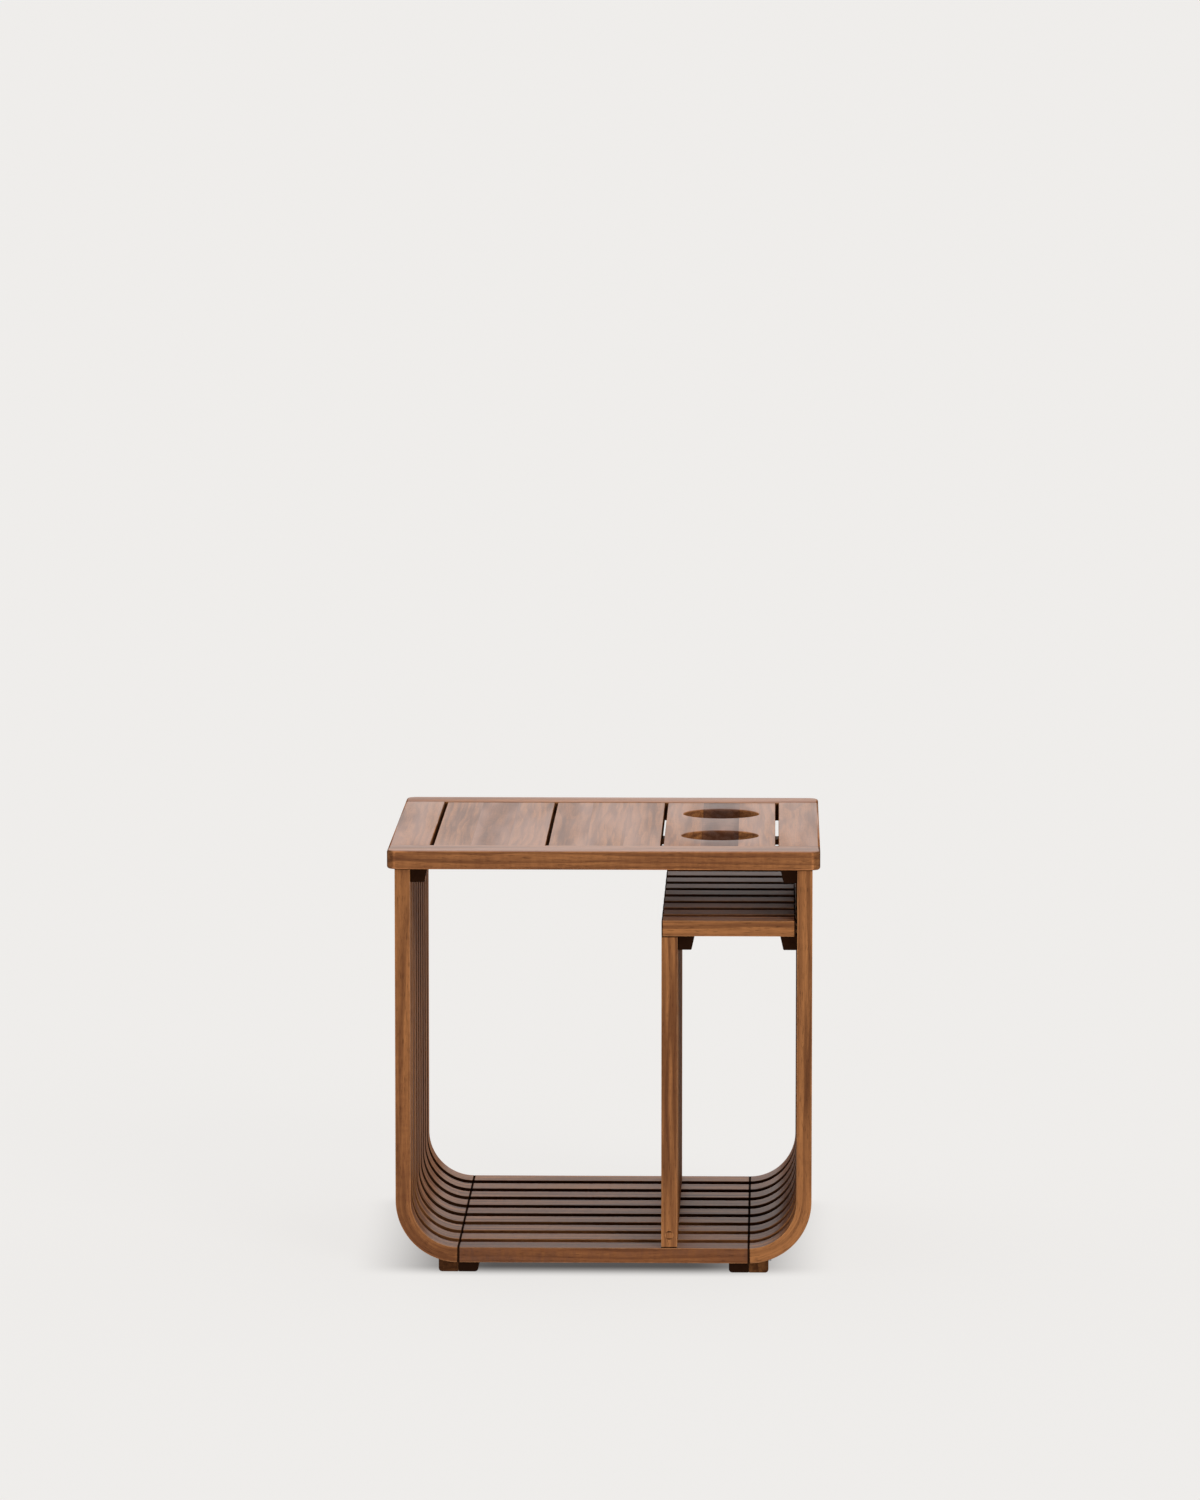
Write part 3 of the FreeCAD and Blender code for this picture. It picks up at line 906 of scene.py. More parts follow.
@dataclass
class Workshop:
    """Holds the finishes and the geometry trees, and turns raw pieces into dressed parts of the table."""

    rounding_steps: int = 4
    side_from: float = 0.22
    side_over: float = 0.25

    def __post_init__(self) -> None:
        """Build every shared tree and material once."""
        self.wood = OiledHardwood().material(ShaderLibrary())
        self.zinc = ZINC.material()
        self.brass = BRASS.material()
        self.sweep = self._sweep_tree()
        self.setter = self._setter_tree()

    @staticmethod
    def _close(group: Group, geometry: Socket) -> Tree:
        """End a geometry tree with real meshes in the material that it is given."""
        real = group.bench.get("GeometryNodeRealizeInstances", {"Geometry": geometry})
        inputs = {"Geometry": real, "Material": group.take("Material")[0]}
        return group.give(geometry=group.bench.get("GeometryNodeSetMaterial", inputs))

    def _sweep_tree(self) -> Tree:
        """Geometry tree that draws a rectangular stick along each line of its mesh."""
        group = Group.new("Swept Stick", "GeometryNodeTree",
                          {"Geometry": "Geometry", "Width": "Float", "Thickness": "Float",
                           "Width Way": "Vector", "Material": "Material"}, {"Geometry": "Geometry"})
        bench = group.bench
        lines, width, thickness, way = group.take("Geometry", "Width", "Thickness", "Width Way")
        line = bench.get("GeometryNodeMeshToCurve", {"Mesh": lines})
        line = bench.get("GeometryNodeSetCurveNormal", {"Curve": line, "Normal": way}, mode="FREE")
        section = bench.get("GeometryNodeCurvePrimitiveQuadrilateral", {"Width": width, "Height": thickness})
        stick = bench.get("GeometryNodeCurveToMesh",
                          {"Curve": line, "Profile Curve": section, "Fill Caps": True})
        stick = bench.get("GeometryNodeSetShadeSmooth", {"Geometry": stick, "Shade Smooth": True})
        return self._close(group, stick)

    def _setter_tree(self) -> Tree:
        """Geometry tree that sets one fastener on each point, facing the way that the point names."""
        group = Group.new("Set Fasteners", "GeometryNodeTree",
                          {"Geometry": "Geometry", "Fastener": "Object", "Seed": "Int", "Material": "Material"},
                          {"Geometry": "Geometry"})
        bench = group.bench
        points, fastener, seed = group.take("Geometry", "Fastener", "Seed")
        pattern = bench.add("GeometryNodeObjectInfo", {"Object": fastener}).outputs["Geometry"]
        facing = bench.get("GeometryNodeInputNamedAttribute", {"Name": "facing"}, data_type="FLOAT_VECTOR")
        upright = bench.get("FunctionNodeAlignRotationToVector", {"Vector": facing}, axis="Z")
        turn = bench.get("FunctionNodeRandomValue", {"Max": (0.0, 0.0, math.tau), "Seed": seed},
                         data_type="FLOAT_VECTOR")
        spin = bench.get("FunctionNodeRotateRotation", {0: upright, 1: turn}, rotation_space="LOCAL")
        return self._close(group, bench.get("GeometryNodeInstanceOnPoints",
                                            {"Points": points, "Instance": pattern, "Rotation": spin}))

    @staticmethod
    def run_tree(piece: Piece, tree: Tree, values: dict[str, object]) -> None:
        """Give a piece a geometry tree.

        Args:
            piece: the object whose mesh the tree reads.
            tree: the geometry tree.
            values: the tree's inputs, by name.
        """
        modifier = piece.modifiers.new(tree.name, "NODES")
        modifier.node_group = tree
        for item in tree.interface.items_tree:
            if item.in_out == "INPUT" and item.name in values:
                modifier[item.identifier] = values[item.name]

    def stick(self, name: str, lines: Iterable[Sequence[Vector]], width: float, thickness: float,
              rounding: float) -> Piece:
        """Make sticks that follow lines.

        Args:
            name: the new object's name.
            lines: the middle line of each stick.
            width: the section's side from front to back.
            thickness: its other side.
            rounding: reach of the rounded arrises.

        Returns:
            The object, with its tree and rounding not yet settled.
        """
        points: list[Vector] = []
        edges: list[tuple[int, int]] = []
        for line in lines:
            edges += [(len(points) + i, len(points) + i + 1) for i in range(len(line) - 1)]
            points += line
        mesh = bpy.data.meshes.new(name)
        mesh.from_pydata(points, edges, [])
        piece = link(name, mesh)
        self.run_tree(piece, self.sweep, {"Width": width, "Thickness": thickness, "Width Way": BACK,
                                          "Material": self.wood})
        ease(piece, rounding, self.rounding_steps)
        return piece

    def dress_wood(self, piece: Piece, nodes: Sequence[str], grain: Grain, *tones: Tones, staves: int = 1,
                   end_dark: float = 0.97, corner_shade: float = 0.0,
                   gap_shades: Sequence[Span] = ((0.0, 0.0),)) -> None:
        """Settle a wooden piece, give it its grain coordinates and finish, and hang it on the table.

        Args:
            piece: the piece to dress.
            nodes: the CAD nodes it stands for.
            grain: its grain coordinates.
            tones: how pale the staves of each of its sticks are, from -1 to 1.
            staves: how many staves a stick is glued up from.
            end_dark: how dark its cut ends are, from 0 to 1: dark end grain with painted shade on top.
            corner_shade: painted shade on its sides where they turn to left or right, from 0 to 1.
            gap_shades: painted shade on the front and back face of each of its sticks, from 0 to 1.
        """
        settle(piece)
        mesh = piece.data
        points, lean = self.read(mesh, "co"), self.read(mesh, "normal")
        rows = grain.rows(points)
        seeds = [stray(piece.name, 2 + i) for i in range(len(tones))]
        turned = np.clip((np.abs(lean) - self.side_from) / self.side_over, 0.0, 1.0)
        # painted shade in the gaps, on faces turned to the front or back
        darks = np.array(gap_shades)[rows]
        darks = np.where(lean[:, 1] < 0, darks[:, 0], darks[:, 1]) * turned[:, 1]
        for name, values in {"grain": grain.coordinates(points),
                             "half_size": np.tile(grain.half_size(), (len(points), 1)),
                             "tones": np.array(tones)[rows], "seed": np.array(seeds)[rows],
                             "staves": np.full(len(points), float(staves)),
                             "end_dark": np.full(len(points), end_dark),
                             "gap_dark": darks + corner_shade * turned[:, 0]}.items():
            self.write(mesh, name, values)
        mesh.materials.clear()
        mesh.materials.append(self.wood)
        self.hang(piece, "oiled_hardwood", *nodes)

    @staticmethod
    def read(mesh: Mesh, name: str) -> np.ndarray:
        """The place or the normal of each point of a mesh."""
        values = np.zeros(len(mesh.vertices) * 3)
        mesh.vertices.foreach_get(name, values)
        return values.reshape(-1, 3)

    @staticmethod
    def write(mesh: Mesh, name: str, values: np.ndarray) -> None:
        """Keep a number or a vector for each point of a mesh."""
        vectors = values.ndim == 2
        layer = mesh.attributes.new(name, "FLOAT_VECTOR" if vectors else "FLOAT", "POINT")
        layer.data.foreach_set("vector" if vectors else "value", values.astype(np.float32).ravel())

    @staticmethod
    def hang(piece: Piece, slot: str, *nodes: str) -> None:
        """Let a finished piece ride on the table and stand for its nodes.

        Args:
            piece: the finished piece.
            slot: not used.
            nodes: the CAD nodes that it stands for.
        """
        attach(piece, BODY)
        if nodes:
            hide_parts(*nodes)
        LOG.info("%s: %d faces", piece.name, len(piece.data.polygons))


@dataclass
class TableTop:
    """The framed top: two rails, two end boards, three infill panels and the thin battens under them."""

    shop: Workshop
    screws: Screws
    corner_radius: float = 12.0 * MM
    corner_steps: int = 10
    rim_rounding: float = 3.0 * MM
    rim_steps: int = 5
    slot_rounding: float = 0.8 * MM
    panel_rounding: float = 1.0 * MM
    panel_steps: int = 3
    panel_drop: float = 0.6 * MM
    cup_radius: float = 45.0 * MM
    cup_spacing: float = 200.0 * MM
    cup_rim: float = 1.8 * MM
    cup_rim_steps: int = 5
    cup_around: int = 96
    cutter_reach: float = 2.0 * MM
    rail_tone: Span = (0.55, 0.3)
    # dark end grain with painted shade on the rail's cut ends
    rail_end_dark: float = 0.15
    # painted shade on the rail's rounded corners, where they turn to the sides
    rail_corner_dark: float = 0.55
    end_board_tone: Span = (0.6, 0.3)
    panel_tones: dict[str, Tones] = field(default_factory=lambda: {
        "top_left_panel": (0.70, 0.05, 0.80), "top_middle_panel": (0.60, 0.90, 0.70),
        "top_cup_panel": (0.75, -0.72, 0.80)})

    def build(self) -> None:
        """Make and dress every piece of the top."""
        for node, end in (("top_front_rail", -1), ("top_back_rail", 1)):
            self._rail(node, end)
        for side in Side:
            self._end_board(f"top_{side.word}_end_board", side)
        for node in self.panel_tones:
            self._panel(node)
        for node in self.screws.crossing:
            low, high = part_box(node)
            piece = link(f"{node}_oiled", block(low, high))
            ease(piece, self.panel_rounding, self.panel_steps)
            self.screws.bore(piece, node)
            self.shop.dress_wood(piece, [node], StraightGrain(low, high, Axis.X), even_tones(node))

    def _rail(self, node: str, end: int) -> None:
        """Make a full-width rail at the front (-1) or the back (+1), with round corners in plan."""
        low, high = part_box(node)
        inner_y, outer_y = (high.y, low.y) if end < 0 else (low.y, high.y)
        radius = self.corner_radius
        corner_y = outer_y - end * radius
        outline = [(low.x, inner_y)]
        for corner_x, start in ((low.x + radius, math.pi), (high.x - radius, math.pi + QUARTER)):
            turns = [start + turn for turn in quarter_turns(self.corner_steps)]
            outline += [(corner_x + radius * math.cos(a), corner_y - end * radius * math.sin(a)) for a in turns]
        outline.append((high.x, inner_y))

        def rim(first: Vector, second: Vector) -> float:
            """Round the level edges that aren't at the joint."""
            at_joint = max(abs(first.y - inner_y), abs(second.y - inner_y)) < TOUCH
            return float(abs(first.z - second.z) < TOUCH and not at_joint)

        piece = link(f"{node}_oiled", prism(outline, Axis.Z, low.z, high.z))
        ease(piece, self.rim_rounding, self.rim_steps, rim)
        self.shop.dress_wood(piece, [node], StraightGrain(low, high, Axis.X), even_tones(node, *self.rail_tone),
                             end_dark=self.rail_end_dark, corner_shade=self.rail_corner_dark)

    @staticmethod
    def _between_rails(node: str) -> tuple[Vector, Vector]:
        """Box of a board without its tenons, so that it ends at the rails."""
        low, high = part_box(node)
        low.y, high.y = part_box("top_front_rail")[1].y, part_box("top_back_rail")[0].y
        return low, high

    def _end_board(self, node: str, side: Side) -> None:
        """Make an end board, rounded along its outer rim and eased along its slot."""
        low, high = self._between_rails(node)
        outer_x = side.inner_outer(low.x, high.x)[1]

        def rim(first: Vector, second: Vector) -> float:
            """Round the outer edges in full and the slot's edges a little."""
            if abs(first.y - second.y) < TOUCH:
                return 0.0
            return 1.0 if abs(first.x - outer_x) < TOUCH else self.slot_rounding / self.rim_rounding

        piece = link(f"{node}_oiled", block(low, high))
        ease(piece, self.rim_rounding, self.rim_steps, rim)
        self.shop.dress_wood(piece, [node], StraightGrain(low, high, Axis.Y),
                             even_tones(node, *self.end_board_tone))

    def _panel(self, node: str) -> None:
        """Make an infill panel, glued up from three staves; one of them is cut for cups."""
        low, high = self._between_rails(node)
        high.z -= self.panel_drop
        piece = link(f"{node}_oiled", block(low, high))
        ease(piece, self.panel_rounding, self.panel_steps)
        if node == "top_cup_panel":
            middle_x = (low.x + high.x) / 2
            cut(piece, [self._cup_cutter(Vector((middle_x, end * self.cup_spacing / 2, 0)), low.z, high.z)
                        for end in (-1, 1)])
        tones = self.panel_tones[node]
        self.shop.dress_wood(piece, [node], StraightGrain(low, high, Axis.Y), tones, staves=len(tones))

    def _cup_cutter(self, middle: Vector, low_z: float, high_z: float) -> Piece:
        """Turned plug in the shape of a cup hole, with its two rounded rims.

        Args:
            middle: the hole's axis.
            low_z: underside of the panel.
            high_z: upper side of the panel.

        Returns:
            The plug.
        """
        wide = self.cup_radius + self.cup_rim
        profile = [(wide, low_z - self.cutter_reach)]
        for edge, way in ((low_z, 1), (high_z, -1)):
            bow = [(self.cup_radius + self.cup_rim * (1 - math.cos(turn)),
                    edge + way * self.cup_rim * (1 - math.sin(turn)))
                   for turn in quarter_turns(self.cup_rim_steps)]
            profile += bow[::-1] if way > 0 else bow
        profile.append((wide, high_z + self.cutter_reach))
        mesh = turned_mesh(profile, self.cup_around)
        mesh.transform(Matrix.Translation(middle))
        mesh.shade_smooth()
        return link("cup_cutter", mesh)


@dataclass
class SlatFrame:
    """The slats: bent legs left and right, base, partition and shelf."""

    shop: Workshop
    rounding: float = 0.9 * MM
    joint_gap: float = 0.05 * MM
    bend_steps: int = 28
    # painted shade on slat faces that look into a gap, growing by gap_step a row
    gap_dark: float = 0.86
    gap_step: float = 0.28
    # slat tones that carry painted shade: slats in shade are given darker tones
    known_tones: dict[str, float] = field(default_factory=lambda: {
        "left_leg_slat_1": 0.65, "right_leg_slat_1": 0.90, "base_slat_1": -0.22, "partition_upright_1": 1.1,
        "shelf_slats_1": 0.75})
    row_tones: dict[str, float] = field(default_factory=lambda: {
        "left_leg": 1.15, "right_leg": -0.3, "base": 0.65, "partition": 0.6, "shelf": -0.1})
    tone_spread: float = 0.9

    def build(self) -> None:
        """Make and dress every slat."""
        low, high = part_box("base_slat_1")
        self.width, self.thickness = high.y - low.y, high.z - low.z
        for side in Side:
            for i in SLATS:
                self._leg(f"{side.word}_leg_slat_{i}", i, side)
        for i in SLATS:
            self._straight(f"base_slat_{i}", i, Axis.X, Axis.Z, self.joint_gap)
        for i in SLATS:
            self._straight(f"partition_upright_{i}", i, Axis.Z, Axis.X)
        self._shelf()

    def _gap_darks(self, row: int) -> Span:
        """Painted shade on the front and back face of a row's slats, deeper the further a face lies from the
        open front or back; the outer faces of the table stay unshaded.
        """
        front, back = (min(1.0, (self.gap_step * depth) ** 2) for depth in (row - SLATS[0], SLATS[-1] - row))
        return front * self.gap_dark, back * self.gap_dark

    def _tones(self, node: str) -> Tones:
        """Tones of one slat, which carry painted shade: those of the photograph where it shows them, and stray
        ones elsewhere.
        """
        if node in self.known_tones:
            return even_tones(node, self.known_tones[node], 0.0)
        middle = next(tone for start, tone in self.row_tones.items() if node.startswith(start))
        return even_tones(node, middle, self.tone_spread)

    def _leg(self, node: str, row: int, side: Side) -> None:
        """Make one L-shaped slat.

        Args:
            node: the CAD node it stands for.
            row: its number, counted from the front.
            side: which leg it belongs to.
        """
        low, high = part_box(node)
        grain = BentGrain(low, high, side, self.thickness, self.joint_gap)
        piece = self.shop.stick(f"{node}_oiled", [grain.path(self.bend_steps)], high.y - low.y, self.thickness,
                                self.rounding)
        self.shop.dress_wood(piece, [node], grain, self._tones(node), gap_shades=[self._gap_darks(row)])

    def _straight(self, node: str, row: int, along: Axis, thin: Axis, end_gap: float = 0.0) -> None:
        """Make one straight slat.

        Args:
            node: the CAD node it stands for.
            row: its number, counted from the front.
            along: the way it runs.
            thin: the way of its thickness.
            end_gap: how far its ends stay short of the joint.
        """
        low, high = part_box(node)
        ends = [box_middle(node), box_middle(node)]
        ends[0][along.value], ends[1][along.value] = low[along.value] + end_gap, high[along.value] - end_gap
        piece = self.shop.stick(f"{node}_oiled", [ends], high.y - low.y, high[thin.value] - low[thin.value],
                                self.rounding)
        self.shop.dress_wood(piece, [node], StraightGrain(low, high, along), self._tones(node),
                             gap_shades=[self._gap_darks(row)])

    def _shelf(self) -> None:
        """Make the shelf's slats, which share one node and so one mesh."""
        node = "shelf_slats"
        low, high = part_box(node)
        pitch = (high.y - low.y - self.width) / (len(SLATS) - 1)
        middle_z = (low.z + high.z) / 2
        rows = [low.y + self.width / 2 + i * pitch for i in range(len(SLATS))]
        lines = [[Vector((x, y, middle_z)) for x in (low.x, high.x)] for y in rows]
        piece = self.shop.stick(f"{node}_oiled", lines, self.width, high.z - low.z, self.rounding)
        first_high = Vector((high.x, low.y + self.width, high.z))
        self.shop.dress_wood(piece, [node], StraightGrain(low, first_high, Axis.X, pitch, len(SLATS)),
                             *(self._tones(f"{node}_{i}") for i in SLATS),
                             gap_shades=[self._gap_darks(i) for i in SLATS])


@dataclass
class Battens:
    """The battens inside the legs and under the shelf, and the feet."""

    shop: Workshop
    screws: Screws
    rounding: float = 1.0 * MM
    rounding_steps: int = 3
    foot_corner: float = 4.0 * MM
    corner_steps: int = 5
    cove_steps: int = 8
    # tone and end darkness of battens and feet; the darker feet and near-black ends carry painted shade
    plain_looks: Span = (0.1, 0.98)
    foot_looks: dict[str, Span] = field(default_factory=lambda: {
        "left_leg_foot_batten": (0.1, 0.86), "left_base_foot_batten": (-0.6, 0.98),
        "right_leg_foot_batten": (0.6, 0.80), "right_base_foot_batten": (-0.6, 0.98)})

    def build(self) -> None:
        """Make and dress every batten and foot."""
        for node, way in self.screws.sloped:
            self._sloped(node, way)
        for side in Side:
            self._leg_foot(f"{side.word}_leg_foot_batten", side)
            self._base_foot(f"{side.word}_base_foot_batten", side)

    def _finish(self, node: str, outline: Sequence[Span]) -> None:
        """Stretch a section from front to back, round it, bore it and dress it.

        Args:
            node: the CAD node it stands for.
            outline: the section's corners, x and z.
        """
        low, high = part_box(node)
        piece = link(f"{node}_oiled", prism(outline, Axis.Y, low.y, high.y))
        ease(piece, self.rounding, self.rounding_steps)
        self.screws.bore(piece, node)
        tone, end_dark = self.foot_looks.get(node, self.plain_looks)
        self.shop.dress_wood(piece, [node], StraightGrain(low, high, Axis.Y), even_tones(node, tone, 0.0),
                             end_dark=end_dark)

    def _sloped(self, node: str, way: int) -> None:
        """Make a batten whose free side, towards way, slopes in below."""
        low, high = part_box(node)
        fixed, free = (low.x, high.x) if way > 0 else (high.x, low.x)
        below = free - way * self.screws.slope
        self._finish(node, [(fixed, low.z), (below, low.z), (free, high.z), (fixed, high.z)])

    def _leg_foot(self, node: str, side: Side) -> None:
        """Make the foot under the bent slats, hollowed to their curve."""
        low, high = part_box(node)
        slat_low, slat_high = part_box(f"{side.word}_leg_slat_1")
        radius = slat_high.x - slat_low.x
        joint, far = side.inner_outer(low.x, high.x)
        centre_z = slat_low.z + radius
        outline = [(joint, low.z), *self._corner(far, low.z, -side.value)]
        for i in range(self.cove_steps + 1):
            x = far + (joint - far) * i / self.cove_steps
            outline.append((x, centre_z - math.sqrt(radius ** 2 - (x - joint) ** 2)))
        self._finish(node, outline)

    def _base_foot(self, node: str, side: Side) -> None:
        """Make the foot under the base slats."""
        low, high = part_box(node)
        far, joint = side.inner_outer(low.x, high.x)
        corner = self._corner(far, low.z, side.value)
        self._finish(node, [(joint, low.z), *corner, (far, high.z), (joint, high.z)])

    def _corner(self, far: float, low_z: float, inward: int) -> list[Span]:
        """Rounded lower corner of a foot, from the floor upwards.

        Args:
            far: the foot's free side.
            low_z: the floor.
            inward: the way from the free side into the foot.

        Returns:
            The corner's points.
        """
        radius = self.foot_corner
        return [(far + inward * radius * (1 - math.sin(turn)), low_z + radius * (1 - math.cos(turn)))
                for turn in quarter_turns(self.corner_steps)]


@dataclass
class Hardware:
    """Plugs, wood screws, connector bolts and their nuts; the fasteners' own sizes are in millimetres."""

    shop: Workshop
    screws: Screws
    proud: float = 0.1 * MM
    plug_steps: int = 32
    plug_profile: tuple[Span, ...] = ((1.0, -5.0), (1.0, 0.0), (0.94, 0.7), (0.8, 1.0))
    plug_tones: Span = (0.70, 0.05)
    screw_profile: tuple[Span, ...] = ((3.6, 0.0), (3.55, 0.7), (3.1, 1.4), (2.1, 1.9))
    recess_arm: float = 1.65
    recess_half: float = 0.48
    recess_depth: float = 1.2
    recess_taper: float = 0.75
    bolt_around: int = 48
    bolt_head: Span = (4.6, 3.5)
    crown_share: float = 0.94
    crown_slope: float = 0.577
    bolt_shank: Span = (2.5, 30.0)
    bolt_tip: Span = (0.8, 0.6)
    bolted: tuple[int, int] = (2, 8)
    spin_seed: int = 7

    def build(self) -> None:
        """Make and dress the small pieces."""
        self._plugs()
        self._fasten("wood_screws", self._screw_rings(), self.screws.every())
        self._fasten("connector_bolts_zinc", self._bolt_rings(), self._bolt_places(), "connector_bolts")
        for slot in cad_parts["sleeve_nuts"].material_slots:
            slot.material = self.shop.brass

    def _fasten(self, name: str, rings: Sequence[Sequence[Triple]], places: Sequence[Place],
                *nodes: str) -> None:
        """Set a fastener on every place, as one zinc-plated piece.

        Args:
            name: the piece's name.
            rings: the fastener's rings at the origin, in millimetres, with its head towards +Z.
            places: where the fasteners go.
            nodes: the CAD nodes that they stand for.
        """
        model = lofted_mesh(rings)
        model.transform(Matrix.Scale(MM, 4))
        mesh = bpy.data.meshes.new(name)
        mesh.from_pydata([place.point for place in places], [], [])
        self.shop.write(mesh, "facing", np.array([place.facing for place in places]))
        piece, pattern = link(name, mesh), link(f"{name}_model", model)
        self.shop.run_tree(piece, self.shop.setter, {"Fastener": pattern, "Seed": self.spin_seed,
                                                     "Material": self.shop.zinc})
        settle(piece)
        bpy.data.objects.remove(pattern)
        self.shop.hang(piece, "zinc_plated_steel", *nodes)

    def _screw_rings(self) -> list[list[Triple]]:
        """Pan head with a cross recess; the rings follow the twelve corners of the cross."""
        arm, half = self.recess_arm, self.recess_half
        cross = [(arm, -half), (arm, half), (half, half), (half, arm), (-half, arm), (-half, half),
                 (-arm, half), (-arm, -half), (-half, -half), (-half, -arm), (half, -arm), (half, -half)]
        turns = [math.atan2(y, x) for x, y in cross]
        top = self.screw_profile[-1][1]
        recess = ((1.0, top), (self.recess_taper, top - self.recess_depth))
        return [*(ring(turns, radius, height) for radius, height in self.screw_profile),
                *([(share * x, share * y, z) for x, y in cross] for share, z in recess)]

    def _bolt_rings(self) -> list[list[Triple]]:
        """Hexagon head with its corners turned down, and a round shank."""
        (corner, height), (shank, length), (tip, tip_length) = self.bolt_head, self.bolt_shank, self.bolt_tip
        sixth = math.pi / 3
        flat = corner * math.cos(sixth / 2)
        crown = self.crown_share * flat
        turns = whole_turns(self.bolt_around)
        reach = [flat / math.cos((a + sixth / 2) % sixth - sixth / 2) for a in turns]
        shoulder = [height - self.crown_slope * (r - crown) for r in reach]
        sizes = ((tip * shank, -length), (shank, tip_length - length), (shank, 0.0), (reach, 0.0),
                 (reach, shoulder), (crown, height))
        return [ring(turns, radii, heights) for radii, heights in sizes]

    def _bolt_places(self) -> list[Place]:
        """The bolts through the outer feet and up through the battens inside the legs."""
        rows = slat_middles()
        foot_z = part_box("base_slat_1")[0].z / 2
        places = []
        for side in Side:
            foot_low, foot_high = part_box(f"{side.word}_leg_foot_batten")
            outer = side.inner_outer(foot_low.x, foot_high.x)[1]
            batten = f"{side.word}_leg_top_batten"
            for y in (rows[i - 1] for i in self.bolted):
                places.append(Place(Vector((outer, y, foot_z)), Vector((side.value, 0, 0))))
                places.append(Place(Vector((box_middle(batten).x, y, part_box(batten)[0].z)), DOWN))
        return places

    def _plugs(self) -> None:
        """Make the round plugs at the foot of the partition and those in the battens' sides."""
        node = "upright_plugs"
        low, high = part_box(node)
        middle = box_middle(node)
        ends = [Place(Vector((middle.x, y, middle.z)), BACK * way) for y, way in ((low.y, -1), (high.y, 1))]
        self._plug(f"{node}_oiled", ends, (high.x - low.x) / 2, StraightGrain(low, high, Axis.Z),
                   self.plug_tones[0], node)
        sides = self.screws.plugged()
        low, high = (Vector(pick(place.point[i] for place in sides) for i in range(3)) for pick in (min, max))
        self._plug("batten_plugs", sides, self.screws.bore_radius, StraightGrain(low, high, Axis.Z),
                   self.plug_tones[1])

    def _plug(self, name: str, places: Sequence[Place], radius: float, grain: Grain, tone: float,
              *nodes: str) -> None:
        """Set a round plug, a little proud of the wood, on every place.

        Args:
            name: the piece's name.
            places: where the plugs go.
            radius: a plug's radius.
            grain: the piece's grain coordinates.
            tone: how pale the plugs are.
            nodes: the CAD nodes that the plugs stand for.
        """
        profile = [(radius * share, self.proud * height) for share, height in self.plug_profile]
        piece = turned_at(name, places, profile, self.plug_steps)
        piece.data.shade_smooth()
        self.shop.dress_wood(piece, nodes, grain, even_tones(name, tone, 0.0))


@dataclass(frozen=True)
class Lamp:
    """A distant soft lamp: its strength, and in degrees its width, bearing from the front and height."""

    name: str
    strength: float
    softness: float
    bearing: float
    height: float
    colour: Triple = (1.0, 0.97, 0.93)

    def light(self) -> None:
        """Hang the lamp, without a reflection of its own."""
        lamp = bpy.data.lights.new(self.name, "SUN")
        lamp.energy = self.strength
        lamp.angle = math.radians(self.softness)
        lamp.color = self.colour
        hung = bpy.data.objects.new(self.name, lamp)
        bearing, height = math.radians(self.bearing), math.radians(self.height)
        source = Vector((math.sin(bearing) * math.cos(height), -math.cos(bearing) * math.cos(height),
                         math.sin(height)))
        hung.rotation_euler = source.to_track_quat("Z", "Y").to_euler()
        hung.visible_glossy = False
        bpy.context.scene.collection.objects.link(hung)


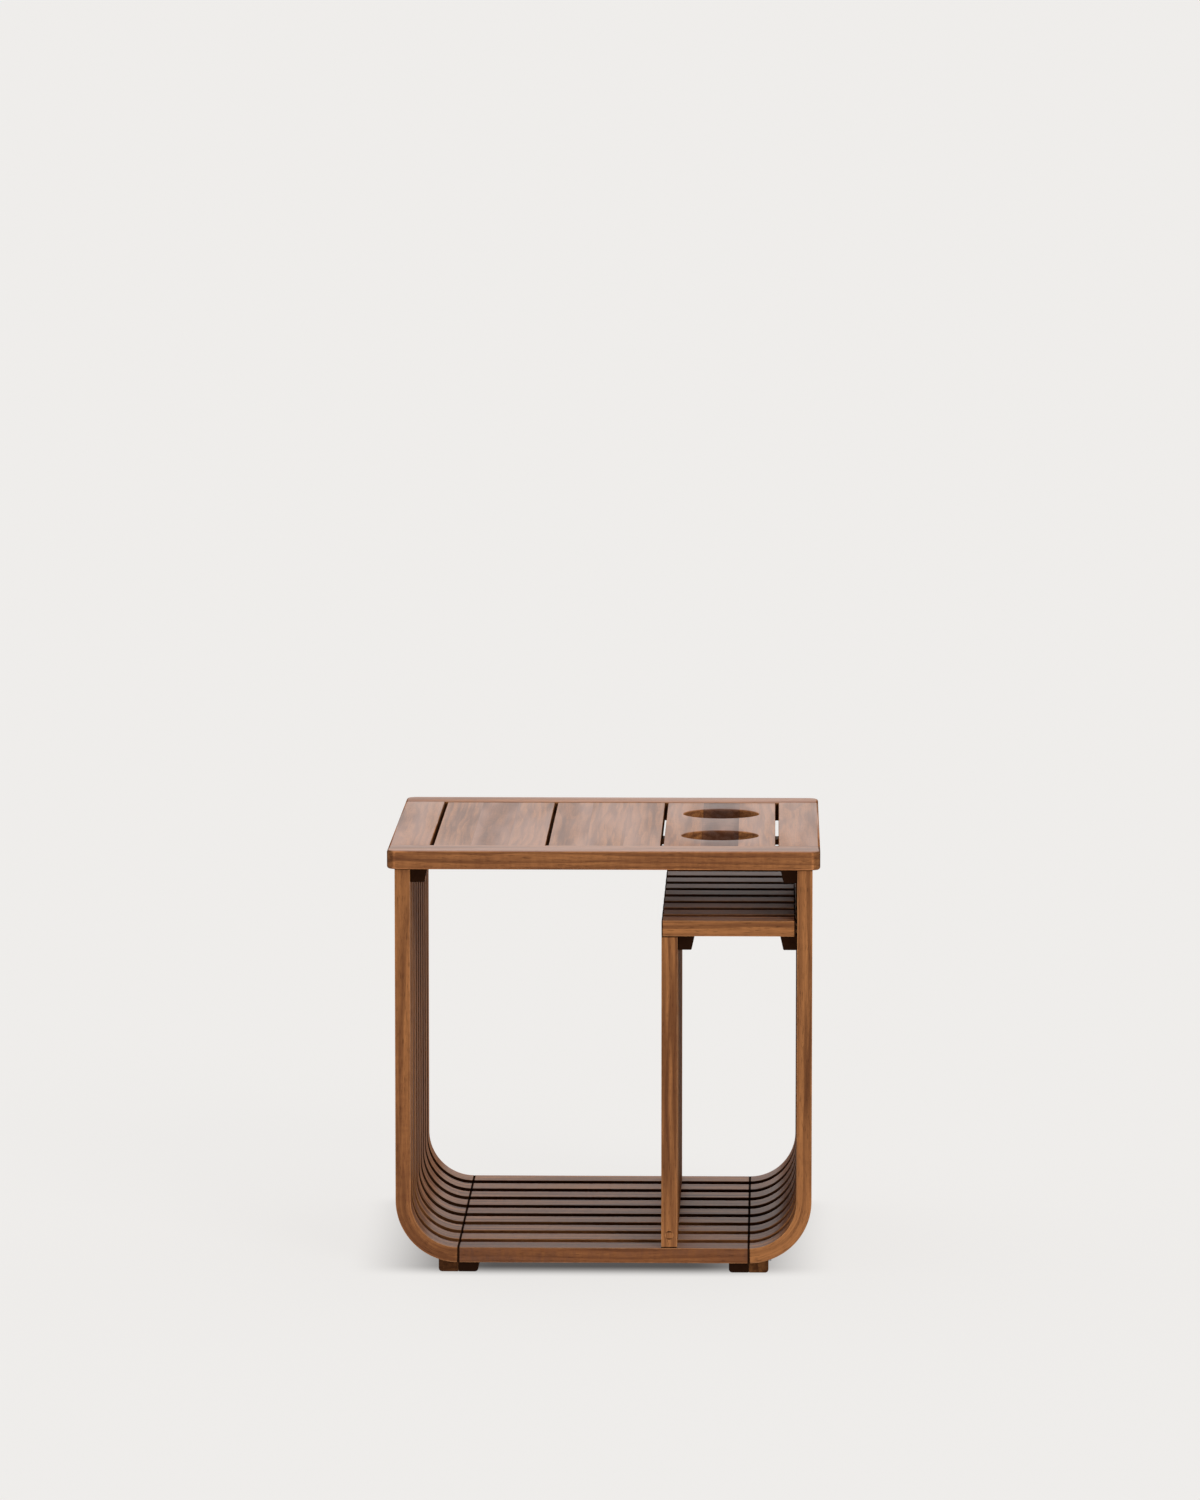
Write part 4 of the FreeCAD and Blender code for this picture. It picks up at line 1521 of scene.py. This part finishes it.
@dataclass
class Studio:
    """Pale floor, soft light and the photograph's camera."""

    floor_half: float = 150.0
    floor_colour: Colour = (0.11, 0.1097, 0.1087, 1.0)
    floor_roughness: float = 0.95
    floor_glow: float = 0.762
    glow_colour: Colour = (1.0, 0.982, 0.962, 1.0)
    no_glow: Colour = (0.0, 0.0, 0.0, 1.0)
    speckle_scale: float = 60.0
    speckle_dark: float = 0.985
    shade_side: Span = (0.11, 0.29)
    shade_shift: Triple = (-0.014, 0.0, 0.0)
    shade_front: Span = (0.195, 0.269)
    shade_depth: float = 0.90
    sky_colour: Colour = (1.0, 0.985, 0.968, 1.0)
    sky_front: float = 0.06
    sky_back: float = 1.15
    sky_top: float = 1.10
    sky_rise: Span = (0.6, 1.0)
    lamps: tuple[Lamp, ...] = (Lamp("fill", 1.7, 2.5, -4.0, 1.3), Lamp("key", 0.9, 25.0, 35.0, 28.0))
    camera_place: Triple = (0.1954, -8.9258, 1.6470)
    camera_yaw: float = 1.315
    camera_pitch: float = 6.799
    focal_pixels: float = 7600.7
    frame_height: float = 1500.0
    sensor_height: float = 36.0
    sight: float = 1000.0

    def build(self) -> None:
        """Set out the floor, the light and the camera."""
        self._floor()
        self._light()
        self._camera()

    def _floor(self) -> None:
        """Lay the floor, with the table's shade painted on it."""
        reach = self.floor_half
        mesh = bpy.data.meshes.new("floor")
        mesh.from_pydata([(-reach, -reach, 0), (reach, -reach, 0), (reach, reach, 0), (-reach, reach, 0)], [],
                         [(0, 1, 2, 3)])
        material, bench, shader = new_material("pale_floor")
        place = bench.object_place()
        speckle = bench.noise(bench.stretch(place, self.speckle_scale), 3.0)
        darker = (*(c * self.speckle_dark for c in self.floor_colour[:3]), 1.0)
        moved = bench.vector("SUBTRACT", place, self.shade_shift)
        aside, ahead, _ = bench.split(bench.vector("ABSOLUTE", moved))
        under = bench.times(bench.fade(aside, *self.shade_side), bench.fade(ahead, *self.shade_front))
        glow = bench.mix(bench.times(under, self.shade_depth), self.glow_colour, self.no_glow)
        bench.wire(shader, {"Base Color": bench.mix(speckle, self.floor_colour, darker),
                            "Roughness": self.floor_roughness, "Specular IOR Level": 0.0,
                            "Emission Color": glow, "Emission Strength": self.floor_glow})
        mesh.materials.append(material)
        link("floor", mesh)

    def _light(self) -> None:
        """Hang the lamps at the front, in a room that is brightest above and behind."""
        world = bpy.data.worlds.new("studio")
        world.use_nodes = True
        bench = Bench(world.node_tree)
        _, back, up = bench.split(bench.add("ShaderNodeTexCoord").outputs["Generated"])
        wall = bench.ramp(back, -1.0, 1.0, self.sky_front, self.sky_back)
        glow = bench.plus_shares(wall, (bench.ramp(up, *self.sky_rise), bench.minus(self.sky_top, wall)))
        bench.wire(world.node_tree.nodes["Background"], {"Strength": glow, "Color": self.sky_colour})
        bpy.context.scene.world = world
        for lamp in self.lamps:
            lamp.light()

    def _camera(self) -> None:
        """Set the camera where the photograph was taken."""
        lens = bpy.data.cameras.new("camera")
        lens.sensor_fit = "VERTICAL"
        lens.sensor_height = self.sensor_height
        lens.lens = self.focal_pixels * self.sensor_height / self.frame_height
        lens.clip_end = self.sight
        camera = bpy.data.objects.new("camera", lens)
        camera.location = self.camera_place
        camera.rotation_euler = Euler((math.radians(90 - self.camera_pitch), 0, math.radians(self.camera_yaw)))
        bpy.context.scene.collection.objects.link(camera)
        bpy.context.scene.camera = camera
        bpy.context.scene.view_settings.view_transform = "Standard"


def main() -> None:
    """Build the table's parts in order, then the studio round it."""
    logging.basicConfig(level=logging.INFO, format="%(name)s: %(message)s")
    shop, screws = Workshop(), Screws()
    for assembly in (TableTop(shop, screws), SlatFrame(shop), Battens(shop, screws), Hardware(shop, screws)):
        LOG.info("building %s", type(assembly).__name__)
        assembly.build()
    Studio().build()


if __name__ == "__main__":
    main()
